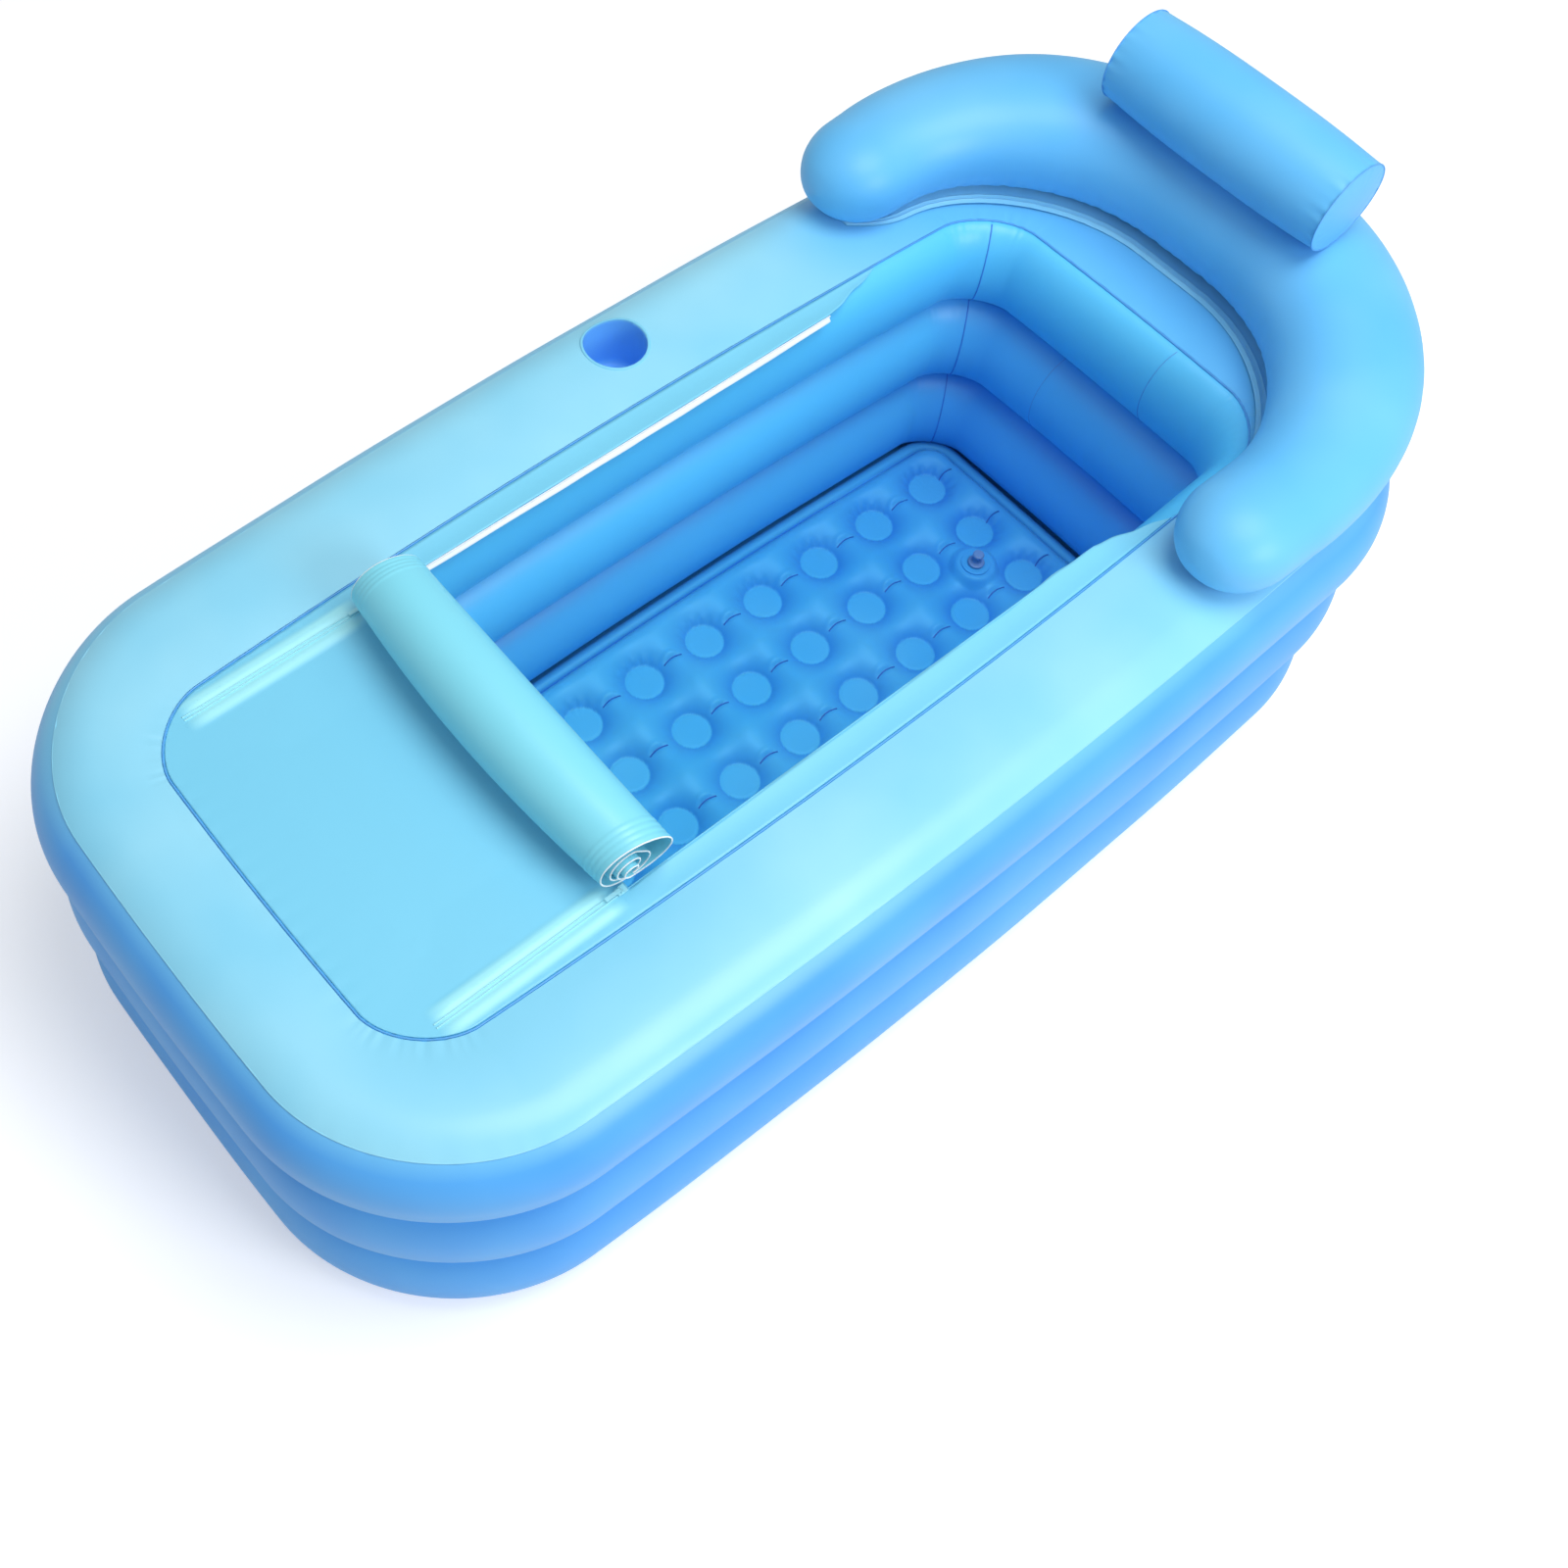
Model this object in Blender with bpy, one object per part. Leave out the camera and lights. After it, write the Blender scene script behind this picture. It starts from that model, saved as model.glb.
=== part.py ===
"""Inflatable bathtub: three stacked air rings, a skinned deck, a zipped cover and a backrest.

Run with: blender --background --python part.py
Metres, +Z up. The origin is on the floor under the middle of the rings. +X points to the head
end, and +Y to the side with the cup holder. Every air chamber is a thin-walled hollow shell
whose one opening is filled by its air valve.
"""
import math

import bmesh
import bpy
from mathutils import Matrix, Vector

# Plan of the rings
LENGTH = 1.60
WIDTH = 0.84
SIDE_BOW = 0.027
END_BOW = 0.015
INNER_CORNER_RADIUS = 0.030

# Rings and sheets; the bath lies this much nearer the foot than the outside of the rings
BATH_SHIFT = 0.0275
RING_HEIGHT = 0.144
RING_WIDTH = 0.200
RING_BULGE = 0.050
DECK_CROWN_INSET = 0.075
DECK_DROP = 0.006
DECK_INNER_BULGE = 0.035
SEAM_ANGLE_DEG = 58.0
INNER_BULGE_START_DEG = 60.0
SHOULDER_DROP_SHARE = 0.25
CHAMBER_WALL = 0.0010
SHEET = 0.0010
GAP = 0.0003
BASE_INSET = 0.045
BEAD = 0.0030
WELD_BAND_WIDTH = 0.0030
WELD_BAND_DEPTH = 0.0050

# Floor cushion and its welded dots; the margins run from the inner wall to the end columns
FLOOR_THICKNESS = 0.034
FLOOR_EDGE_HEIGHT = 0.012
FLOOR_EDGE_BAND = 0.012
FLOOR_CLEARANCE = 0.004
FLOOR_CAVITY_MARGIN = 0.030
DOT_PITCH_X = 0.105
DOT_PITCH_Y = 0.095
DOT_HEAD_MARGIN = 0.063
DOT_FOOT_MARGIN = 0.050
DOT_DEPTH = 0.021
DOT_RADIUS = 0.026

# Drain
DRAIN_BORE = 0.0090
DRAIN_WALL = 0.0025
DRAIN_FLANGE_RADIUS = 0.0200
DRAIN_FLANGE = 0.0020
PLUG_HEAD_RADIUS = 0.0115
PLUG_HEAD = 0.0030
PLUG_NECK_RADIUS = 0.0050
PLUG_NECK = 0.0120
PLUG_KNOB_RADIUS = 0.0080
PLUG_KNOB = 0.0040
PLUG_STEM = 0.0150
PLUG_CLEARANCE = 0.0005

# Cover, zips and roll; the inset and the head stop run inwards from the inner seam
ZIP_INSET = 0.0405
ZIP_CORNER_SHARE = 0.40
ZIP_HALF_WIDTH = 0.0025
ZIP_SPACE = 0.0020
ZIP_THICKNESS = 0.0024
ZIP_HEAD_STOP = 0.3025
STRIP_TAPER = 0.100
ROLL_FROM_ZIP_FOOT = 0.233
ROLL_END_RADIUS = 0.0420
ROLL_CROWN = 0.0060
ROLL_AHEAD = 0.005
ROLL_SKEW = 0.009
ROLL_CORE_RADIUS = 0.0050
ROLL_SHEET = 0.0016
ROLL_TURNS = 3.5
ROLL_END_SPACE = 0.0025
SLIDER_LENGTH = 0.0110
SLIDER_WIDTH = 0.0090
SLIDER_PLATE = 0.0010
SLIDER_POST_WIDTH = 0.0010
SLIDER_POST_LENGTH = 0.0030
SLIDER_CLEARANCE = 0.0004
EAR_THICKNESS = 0.0012
EAR_LENGTH = 0.0040
PULL_WIDTH = 0.0044
PULL_LENGTH = 0.0200
PULL_THICKNESS = 0.0012
PULL_BARREL_RADIUS = 0.0011
PULL_PIN_RADIUS = 0.0006
PIN_CLEARANCE = 0.0003

# Cup holder
CUP_X = 0.068
CUP_FROM_SEAM = 0.0500
CUP_RADIUS = 0.0380
CUP_WALL = 0.0012
CUP_DEPTH = 0.0750
CUP_RIM_PROUD = 0.0008

# Backrest and pillow
BACKREST_REACH = 0.443
BACKREST_FROM_SEAM = 0.021
BACKREST_BEND_SHARE = 0.85
BACKREST_ARM_SLIM = 0.004
BACKREST_ARM_HALF_HEIGHT = 0.055
BACKREST_HEAD_OUT = 0.034
BACKREST_SIDE = 0.010
ARM_IN = 0.013
ARM_SKEW = 0.027
BACKREST_HEAD_SWELL = 0.018
BACKREST_HEAD_HALF_HEIGHT = 0.073
BACKREST_PRESS = 0.008
BACKREST_TIP_LENGTH = 0.075
BACKREST_TIP_SHARES = (0.04, 0.16, 0.36, 0.62, 1.0)
HEM_START = 0.024
HEM_WIDTH = 0.030
HEM_END_SPACE = 0.040
PILLOW_LENGTH = 0.330
PILLOW_RADIUS = 0.060
PILLOW_END_RADIUS = 0.055
PILLOW_FORWARD = 0.038
PILLOW_SIDE = 0.018
PILLOW_CAP_BULGE = 0.006
PILLOW_CAP_SHARES = (0.6, 0.33)
PILLOW_SWELL_SHARES = ((0.75, 0.5), (0.4, 1.0))
PILLOW_SEAM = 0.0022

# Air valves
VALVE_FLANGE_RADIUS = 0.0150
VALVE_FLANGE = 0.0020
VALVE_STEM_RADIUS = 0.0070
VALVE_STEM = 0.0120
VALVE_BORE = 0.0045
VALVE_CLEARANCE = 0.0004
STOPPER_HEAD_RADIUS = 0.0090
STOPPER_HEAD = 0.0025
STOPPER_STEM = 0.0090
VALVE_PATCH = 0.034

# Mesh fineness
CORNER_STEPS = 5
SIDE_STEPS = 6
END_STEPS = 3
ARM_PATH_STEPS = 8
BEND_PATH_STEPS = 16
BULGE_STEPS = 5
CELLS_PER_DOT = 4
LEAST_CELL_SHARE = 1 / 3
ROUND_SIDES = 28
VALVE_SIDES = 14
PILLOW_SIDES = 16
BACKREST_SIDES = 12
BACKREST_STEPS = 16
HEM_STEPS = 22
ROLL_TURN_STEPS = 14
ROLL_ROWS = 6
SHARP_DEG = 40.0
SOFT_SHARP_DEG = 60.0
CUT_OVERRUN = 0.010

# Colours, linear
RING_BLUE = (0.160, 0.480, 0.960)
DECK_CYAN = (0.330, 0.720, 0.930)
COVER_CYAN = (0.240, 0.670, 0.900)
ROLL_CYAN = (0.300, 0.800, 0.930)
FLOOR_BLUE = (0.060, 0.300, 0.820)
CUP_BLUE = (0.040, 0.150, 0.750)
WELD_BLUE = (0.090, 0.380, 0.850)
ZIP_WHITE = (0.850, 0.930, 0.960)
DRAIN_GREY = (0.250, 0.350, 0.520)
VALVE_CLEAR = (0.600, 0.800, 0.930)

# Roughness of the finishes
FILM_ROUGHNESS = 0.35
FLOOR_ROUGHNESS = 0.30
WELD_ROUGHNESS = 0.40
MOULDED_ROUGHNESS = 0.40
COIL_ROUGHNESS = 0.50

# The middle facet of each ring wall stands upright, so the half ellipse of the wall is deepened
# until that facet lies at the stated width
FLAT_DEG = 90.0 / BULGE_STEPS
DEEPENED = 1 / math.cos(math.radians(FLAT_DEG))

# Heights that the stack gives
RING_BASE = SHEET + GAP
UPPER_BASE = RING_BASE + 2 * RING_HEIGHT
DECK_TOP = UPPER_BASE + RING_HEIGHT - GAP
SHELL_HEIGHT = RING_HEIGHT - GAP
SKIN_TOP = DECK_TOP + GAP + SHEET
OUTER_SEAM_INSET = DECK_CROWN_INSET * (1 - DEEPENED * math.cos(math.radians(SEAM_ANGLE_DEG)))
INNER_SEAM_INSET = RING_WIDTH - DECK_INNER_BULGE
INNER_PRESS_INSET = RING_WIDTH - RING_BULGE
SEAT_Z = DECK_TOP - DECK_DROP
COVER_BOTTOM = SEAT_Z + GAP
COVER_TOP = COVER_BOTTOM + SHEET
COVER_MID = (COVER_BOTTOM + COVER_TOP) / 2
FLOOR_BOTTOM = RING_BASE
FLOOR_TOP = FLOOR_BOTTOM + FLOOR_THICKNESS

# Places that the plan gives
CORNER_RADIUS = RING_WIDTH + INNER_CORNER_RADIUS
ZIP_Y = WIDTH / 2 - INNER_SEAM_INSET - ZIP_INSET
SEAM_CORNER = CORNER_RADIUS - INNER_SEAM_INSET
ZIP_FOOT_X = -(LENGTH / 2 - END_BOW - CORNER_RADIUS + SEAM_CORNER * ZIP_CORNER_SHARE) - BATH_SHIFT
ZIP_HEAD_X = LENGTH / 2 - INNER_SEAM_INSET - BATH_SHIFT - ZIP_HEAD_STOP
STRIP_END_X = ZIP_HEAD_X + STRIP_TAPER
ROLL_X = ZIP_FOOT_X + ROLL_FROM_ZIP_FOOT
SLOT_HALF = ZIP_SPACE / 2 + ZIP_HALF_WIDTH + GAP
CUP_INSET = OUTER_SEAM_INSET + CUP_FROM_SEAM
BACKREST_TIP_X = LENGTH / 2 - BACKREST_REACH
BACKREST_INSET = (INNER_SEAM_INSET - BACKREST_FROM_SEAM) / 2
BACKREST_HEAD_INSET = BACKREST_INSET - BACKREST_HEAD_OUT
BACKREST_BEND_RADIUS = (WIDTH / 2 - BACKREST_INSET) * BACKREST_BEND_SHARE
BACKREST_ARM_HALF_WIDTH = BACKREST_INSET - BACKREST_ARM_SLIM
BACKREST_HEAD_HALF_WIDTH = BACKREST_INSET + BACKREST_HEAD_SWELL
FLOOR_HALF_X = LENGTH / 2 - RING_WIDTH - FLOOR_CLEARANCE
FLOOR_HEAD_X = FLOOR_HALF_X - BATH_SHIFT
FLOOR_FOOT_X = -FLOOR_HALF_X - BATH_SHIFT
DOT_FIRST_X = FLOOR_HEAD_X - DOT_HEAD_MARGIN
DOT_COLUMNS = 1 + int((DOT_FIRST_X - FLOOR_FOOT_X - DOT_FOOT_MARGIN) / DOT_PITCH_X)
DOT_ROWS = int((WIDTH - 2 * RING_WIDTH) / DOT_PITCH_Y)
DOT_REACH = 2 * DOT_RADIUS
DRAIN_X = DOT_FIRST_X - DOT_PITCH_X / 2
FLOOR_VALVE_X = DOT_FIRST_X - (DOT_COLUMNS - 1.5) * DOT_PITCH_X


def clear_scene():
    for item in list(bpy.data.objects):
        bpy.data.objects.remove(item, do_unlink=True)


def material(name, colour, roughness):
    """A plain plastic of one colour, made once for each name."""
    found = bpy.data.materials.get(name)
    if found:
        return found
    made = bpy.data.materials.new(name)
    made.use_nodes = True
    shader = made.node_tree.nodes["Principled BSDF"]
    shader.inputs["Base Color"].default_value = (*colour, 1.0)
    shader.inputs["Roughness"].default_value = roughness
    shader.inputs["Metallic"].default_value = 0.0
    return made


def add_object(name, mesh, finish, smooth_deg=SHARP_DEG):
    """Link a mesh as a named object with its material and smooth shading."""
    item = bpy.data.objects.new(name, mesh)
    bpy.context.scene.collection.objects.link(item)
    mesh.materials.append(finish)
    mesh.shade_smooth()
    mesh.set_sharp_from_angle(angle=math.radians(smooth_deg))
    return item


def mesh_from(name, points, faces):
    """A mesh from points and faces, with its faces turned outwards."""
    mesh = bpy.data.meshes.new(name)
    mesh.from_pydata([tuple(p) for p in points], [], faces)
    work = bmesh.new()
    work.from_mesh(mesh)
    bmesh.ops.recalc_face_normals(work, faces=work.faces)
    work.to_mesh(mesh)
    work.free()
    mesh.update()
    return mesh


def lofted(name, loops, closed):
    """A skin through equal loops of points, round again when closed, and capped when not."""
    count = len(loops[0])
    points = [p for loop in loops for p in loop]
    faces = []
    rows = len(loops)
    for i in range(rows if closed else rows - 1):
        here = i * count
        there = (i + 1) % rows * count
        for j in range(count):
            k = (j + 1) % count
            faces.append((here + j, here + k, there + k, there + j))
    if not closed:
        faces.append(tuple(range(count)))
        faces.append(tuple((rows - 1) * count + j for j in range(count)))
    return mesh_from(name, points, faces)


def turned(name, profile, sides, place):
    """A solid turned about Z from (radius, height) points, closed on the axis, then placed."""
    points = []
    rings = []
    for radius, height in profile:
        if radius == 0:
            rings.append([len(points)])
            points.append(place @ Vector((0, 0, height)))
            continue
        ring = []
        for k in range(sides):
            angle = math.tau * (k + 0.5) / sides
            ring.append(len(points))
            points.append(place @ Vector((radius * math.cos(angle), radius * math.sin(angle), height)))
        rings.append(ring)
    faces = []
    pairs = list(zip(rings, rings[1:]))
    if profile[0][0] and profile[-1][0]:
        pairs.append((rings[-1], rings[0]))
    for low, high in pairs:
        for k in range(sides):
            m = (k + 1) % sides
            if len(low) == 1:
                faces.append((low[0], high[k], high[m]))
            elif len(high) == 1:
                faces.append((low[k], low[m], high[0]))
            else:
                faces.append((low[k], low[m], high[m], high[k]))
    return mesh_from(name, points, faces)


def box_mesh(name, low, high):
    corners = [(x, y, z) for z in (low[2], high[2]) for y in (low[1], high[1]) for x in (low[0], high[0])]
    faces = [(0, 1, 3, 2), (4, 6, 7, 5), (0, 4, 5, 1), (1, 5, 7, 3), (3, 7, 6, 2), (2, 6, 4, 0)]
    return mesh_from(name, corners, faces)


def prism(name, outline, low, high):
    """A flat outline of (x, y) points raised from one height to another."""
    loops = [[(x, y, z) for x, y in outline] for z in (low, high)]
    return lofted(name, loops, closed=False)


def guide(name, mesh):
    """An object that only cuts another."""
    item = bpy.data.objects.new(name, mesh)
    bpy.context.scene.collection.objects.link(item)
    item.hide_render = True
    item.display_type = "WIRE"
    return item


def boolean(item, other, operation="DIFFERENCE"):
    cut = item.modifiers.new(other.name, "BOOLEAN")
    cut.operation = operation
    cut.solver = "EXACT"
    cut.object = other


def hollow(item):
    """Turn a closed solid into an air chamber with a thin wall."""
    wall = item.modifiers.new("chamber wall", "SOLIDIFY")
    wall.thickness = CHAMBER_WALL
    wall.offset = -1.0


# The plan: stations round the outside of the rings, each a point with its inward normal

def bowed(x, y, tangent):
    """Bow the sides and ends of the straight-sided plan; also turns the tangent."""
    half_x = LENGTH / 2 - END_BOW
    half_y = WIDTH / 2 - SIDE_BOW
    side = 1 - (x / half_x) ** 2
    end = 1 - (y / half_y) ** 2
    point = Vector((x + END_BOW * (x / half_x) * end, y + SIDE_BOW * (y / half_y) * side))
    slope_xy = END_BOW * (x / half_x) * (-2 * y / half_y**2)
    slope_yx = SIDE_BOW * (y / half_y) * (-2 * x / half_x**2)
    turned_tangent = Vector((
        tangent.x * (1 + END_BOW / half_x * end) + tangent.y * slope_xy,
        tangent.y * (1 + SIDE_BOW / half_y * side) + tangent.x * slope_yx,
    )).normalized()
    return point, Vector((-turned_tangent.y, turned_tangent.x))


def plan_stations(corner_steps=CORNER_STEPS, side_steps=SIDE_STEPS, end_steps=END_STEPS):
    """Stations anticlockwise from the near side of the head end."""
    core_x = LENGTH / 2 - END_BOW - CORNER_RADIUS
    core_y = WIDTH / 2 - SIDE_BOW - CORNER_RADIUS
    centres = [(core_x, core_y), (-core_x, core_y), (-core_x, -core_y), (core_x, -core_y)]
    stations = []
    for quarter, (cx, cy) in enumerate(centres):
        for k in range(corner_steps + 1):
            angle = math.pi / 2 * (quarter + k / corner_steps)
            x = cx + CORNER_RADIUS * math.cos(angle)
            y = cy + CORNER_RADIUS * math.sin(angle)
            stations.append(bowed(x, y, Vector((-math.sin(angle), math.cos(angle)))))
        angle = math.pi / 2 * (quarter + 1)
        tangent = Vector((-math.sin(angle), math.cos(angle)))
        nx, ny = centres[(quarter + 1) % len(centres)]
        start = Vector((cx, cy)) + CORNER_RADIUS * Vector((math.cos(angle), math.sin(angle)))
        end = Vector((nx, ny)) + CORNER_RADIUS * Vector((math.cos(angle), math.sin(angle)))
        steps = side_steps if quarter % 2 == 0 else end_steps
        for k in range(1, steps):
            spot = start.lerp(end, k / steps)
            stations.append(bowed(spot.x, spot.y, tangent))
    return stations


def half_width_at(x):
    """Half the outside width of the rings at a place along the straight sides."""
    half_x = LENGTH / 2 - END_BOW
    return WIDTH / 2 - SIDE_BOW + SIDE_BOW * (1 - (x / half_x) ** 2)


def placed(point, inward, inset):
    """The spot at an inset from the plan, with the bath side moved towards the foot."""
    share = (inset - DECK_CROWN_INSET) / (INNER_PRESS_INSET - DECK_CROWN_INSET)
    return point + inward * inset - Vector((BATH_SHIFT * min(max(share, 0.0), 1.0), 0))


def swept(name, section):
    """Sweep a closed section of (inset, height) points round the plan."""
    loops = []
    for point, inward in plan_stations():
        loops.append([(*placed(point, inward, inset), height) for inset, height in section])
    return lofted(name, loops, closed=True)


def plan_outline(inset):
    return [tuple(placed(point, inward, inset)) for point, inward in plan_stations()]


# Ring sections, as (inset from the plan, height)

def bulge_arc(inset, depth, half_height, middle, start_deg, end_deg, steps):
    """Points on the half ellipse that an air wall swells to; depth is negative on the inner side."""
    points = []
    for k in range(steps + 1):
        angle = math.radians(start_deg + (end_deg - start_deg) * k / steps)
        points.append((inset - depth * math.cos(angle), middle + half_height * math.sin(angle)))
    return points


def plain_section(base):
    """A ring that is stacked under another: flat where it is pressed, swollen on both walls."""
    half = SHELL_HEIGHT / 2
    depth = RING_BULGE * DEEPENED
    outer = bulge_arc(RING_BULGE, depth, half, base + half, -90, 90, BULGE_STEPS)
    inner = bulge_arc(INNER_PRESS_INSET, -depth, half, base + half, 90, -90, BULGE_STEPS)
    return outer + inner


def deck_line(base):
    """The top of the upper ring, from the outer seam over the crown to the inner seam."""
    half = SHELL_HEIGHT / 2
    depth = DECK_CROWN_INSET * DEEPENED
    arc = bulge_arc(DECK_CROWN_INSET, depth, half, base + half, SEAM_ANGLE_DEG, 90, 2)
    top = base + SHELL_HEIGHT
    shoulder = ((DECK_CROWN_INSET + INNER_SEAM_INSET) / 2, top - DECK_DROP * SHOULDER_DROP_SHARE)
    return arc + [shoulder, (INNER_SEAM_INSET, top - DECK_DROP)]


def upper_section(base):
    """The upper ring: pressed flat below, and domed above for the deck."""
    half = SHELL_HEIGHT / 2
    depth = RING_BULGE * DEEPENED
    low = bulge_arc(RING_BULGE, depth, half, base + half, -90, -FLAT_DEG, 2)
    flat_top = (0, base + half + half * math.sin(math.radians(FLAT_DEG)))
    inner_high = bulge_arc(
        INNER_SEAM_INSET, -DECK_INNER_BULGE, half - DECK_DROP, base + half, INNER_BULGE_START_DEG, 0, 2
    )
    lowest_facet = 2 * FLAT_DEG - 90
    inner_low = bulge_arc(INNER_PRESS_INSET, -depth, half, base + half, lowest_facet, -90, 1)
    return low + [flat_top] + deck_line(base) + inner_high + inner_low


def raised_line(line, height):
    """The line moved along its own outward normals."""
    moved = []
    for k, (inset, level) in enumerate(line):
        before = line[max(k - 1, 0)]
        after = line[min(k + 1, len(line) - 1)]
        along = Vector((after[0] - before[0], after[1] - before[1])).normalized()
        moved.append((inset - along.y * height, level + along.x * height))
    return moved


# Air valves

def valve_frame(point, outward):
    """A placement at a point with local Z along the way out."""
    turn = Vector((0, 0, 1)).rotation_difference(Vector(outward))
    return Matrix.Translation(Vector(point)) @ turn.to_matrix().to_4x4()


def add_valve(name, chamber, point, outward):
    """A valve body and its push-in stopper, and the hole for it in the chamber's wall."""
    place = valve_frame(point, outward)
    seat = GAP
    flange_top = seat + VALVE_FLANGE
    body = [
        (VALVE_BORE, -VALVE_STEM),
        (VALVE_STEM_RADIUS, -VALVE_STEM),
        (VALVE_STEM_RADIUS, seat),
        (VALVE_FLANGE_RADIUS, seat),
        (VALVE_FLANGE_RADIUS, flange_top),
        (VALVE_BORE, flange_top),
    ]
    clear = material("clear soft PVC", VALVE_CLEAR, FILM_ROUGHNESS)
    add_object(name + "_valve", turned(name + "_valve", body, VALVE_SIDES, place), clear)
    head = flange_top + GAP
    stem_radius = VALVE_BORE - VALVE_CLEARANCE
    stopper = [
        (0, head - STOPPER_STEM),
        (stem_radius, head - STOPPER_STEM),
        (stem_radius, head),
        (STOPPER_HEAD_RADIUS, head),
        (STOPPER_HEAD_RADIUS, head + STOPPER_HEAD),
        (0, head + STOPPER_HEAD),
    ]
    mesh = turned(name + "_stopper", stopper, VALVE_SIDES, place.to_3x3().to_4x4())
    plug = add_object(name + "_stopper", mesh, clear)
    plug.location = place.translation
    hole_radius = VALVE_STEM_RADIUS + GAP
    hole = [(0, -CUT_OVERRUN), (hole_radius, -CUT_OVERRUN), (hole_radius, CUT_OVERRUN), (0, CUT_OVERRUN)]
    hole_name = name + "_valve_hole"
    boolean(chamber, guide(hole_name, turned(hole_name, hole, VALVE_SIDES, place)))


# Sub-parts

def make_base():
    blue = material("ring PVC", RING_BLUE, FILM_ROUGHNESS)
    sheet = add_object("base_sheet", prism("base_sheet", plan_outline(BASE_INSET), 0, SHEET), blue)
    boolean(sheet, drain_cutter())


def drain_cutter():
    """The hole that the drain takes through the floor and the base."""
    found = bpy.data.objects.get("drain_hole")
    if found:
        return found
    radius = DRAIN_BORE + DRAIN_WALL + GAP
    top = FLOOR_TOP + CUT_OVERRUN
    profile = [(0, -CUT_OVERRUN), (radius, -CUT_OVERRUN), (radius, top), (0, top)]
    place = Matrix.Translation((DRAIN_X, 0, 0))
    return guide("drain_hole", turned("drain_hole", profile, ROUND_SIDES, place))


def make_rings():
    """The three air rings, each hollow, with its valve on the head end."""
    blue = material("ring PVC", RING_BLUE, FILM_ROUGHNESS)
    names = ["ring_lower", "ring_middle", "ring_upper"]
    rings = []
    for level, name in enumerate(names):
        base = RING_BASE + level * RING_HEIGHT
        section = upper_section(base) if name == "ring_upper" else plain_section(base)
        ring = add_object(name, swept(name, section), blue)
        hollow(ring)
        seat = (LENGTH / 2, 0, base + SHELL_HEIGHT / 2)
        add_valve(name, ring, seat, (1, 0, 0))
        rings.append(ring)
    return rings


def make_deck(upper_ring):
    """The light skin over the upper ring, its two seams, and the cup holder sunk in it."""
    cyan = material("deck PVC", DECK_CYAN, FILM_ROUGHNESS)
    weld = material("weld line", WELD_BLUE, WELD_ROUGHNESS)
    line = deck_line(UPPER_BASE)
    section = raised_line(line, GAP) + raised_line(line, GAP + SHEET)[::-1]
    skin = add_object("deck_skin", swept("deck_skin", section), cyan)

    edge = Vector(line[0])
    along = (edge - Vector(line[1])).normalized()
    out = Vector((along.y, -along.x))
    bead = [
        edge + along * a + out * b
        for a, b in ((GAP, GAP), (GAP + BEAD, GAP), (GAP + BEAD, BEAD), (GAP, BEAD))
    ]
    add_object("outer_seam_bead", swept("outer_seam_bead", [tuple(p) for p in bead]), weld)
    start = INNER_SEAM_INSET + 2 * GAP
    low = SEAT_Z + GAP
    bead = [(start, low), (start + BEAD, low), (start + BEAD, low + BEAD), (start, low + BEAD)]
    add_object("inner_seam_bead", swept("inner_seam_bead", bead), weld)

    place = Matrix.Translation((CUP_X, half_width_at(CUP_X) - CUP_INSET, 0))
    outer = CUP_RADIUS + CUP_WALL
    bottom = SKIN_TOP - CUP_DEPTH
    brim = SKIN_TOP + CUT_OVERRUN
    profile = [
        (0, bottom - CUP_WALL), (outer, bottom - CUP_WALL), (outer, brim),
        (CUP_RADIUS, brim), (CUP_RADIUS, bottom), (0, bottom),
    ]
    dark = material("cup PVC", CUP_BLUE, MOULDED_ROUGHNESS)
    cup = add_object("cup_holder", turned("cup_holder", profile, ROUND_SIDES, place), dark)
    trim = raised_line(line, GAP + SHEET + CUP_RIM_PROUD)
    deep = bottom - CUT_OVERRUN
    under = trim + [(trim[-1][0], deep), (trim[0][0], deep)]
    boolean(cup, guide("under_deck", swept("under_deck", under)), "INTERSECT")
    radius = outer + GAP
    hole = [(0, deep), (radius, deep), (radius, brim), (0, brim)]
    cutter = guide("cup_hole", turned("cup_hole", hole, ROUND_SIDES, place))
    boolean(skin, cutter)
    boolean(upper_ring, cutter)


def groove_half(away):
    """Half the height of the groove between two rings, at a distance from their pressed faces."""
    start = math.radians(90 - 2 * FLAT_DEG)
    rise = SHELL_HEIGHT / 2 * (1 - math.sin(start))
    run = RING_BULGE * DEEPENED * math.cos(start)
    return away * rise / run + GAP / 2


def make_weld_bands():
    """The welds that hold ring to ring, wedge-shaped, deep in the grooves outside and inside."""
    weld = material("weld line", WELD_BLUE, WELD_ROUGHNESS)
    deep = WELD_BAND_DEPTH
    shallow = WELD_BAND_DEPTH + WELD_BAND_WIDTH
    for name, level in (("lower", 1), ("upper", 2)):
        middle = RING_BASE + level * RING_HEIGHT - GAP / 2
        for side, pressed, way in (("outer", RING_BULGE, -1), ("inner", INNER_PRESS_INSET, 1)):
            narrow = groove_half(deep) - GAP
            wide = groove_half(shallow) - GAP
            section = [
                (pressed + way * deep, middle - narrow), (pressed + way * shallow, middle - wide),
                (pressed + way * shallow, middle + wide), (pressed + way * deep, middle + narrow),
            ]
            label = side + "_weld_" + name
            add_object(label, swept(label, section), weld)


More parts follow.
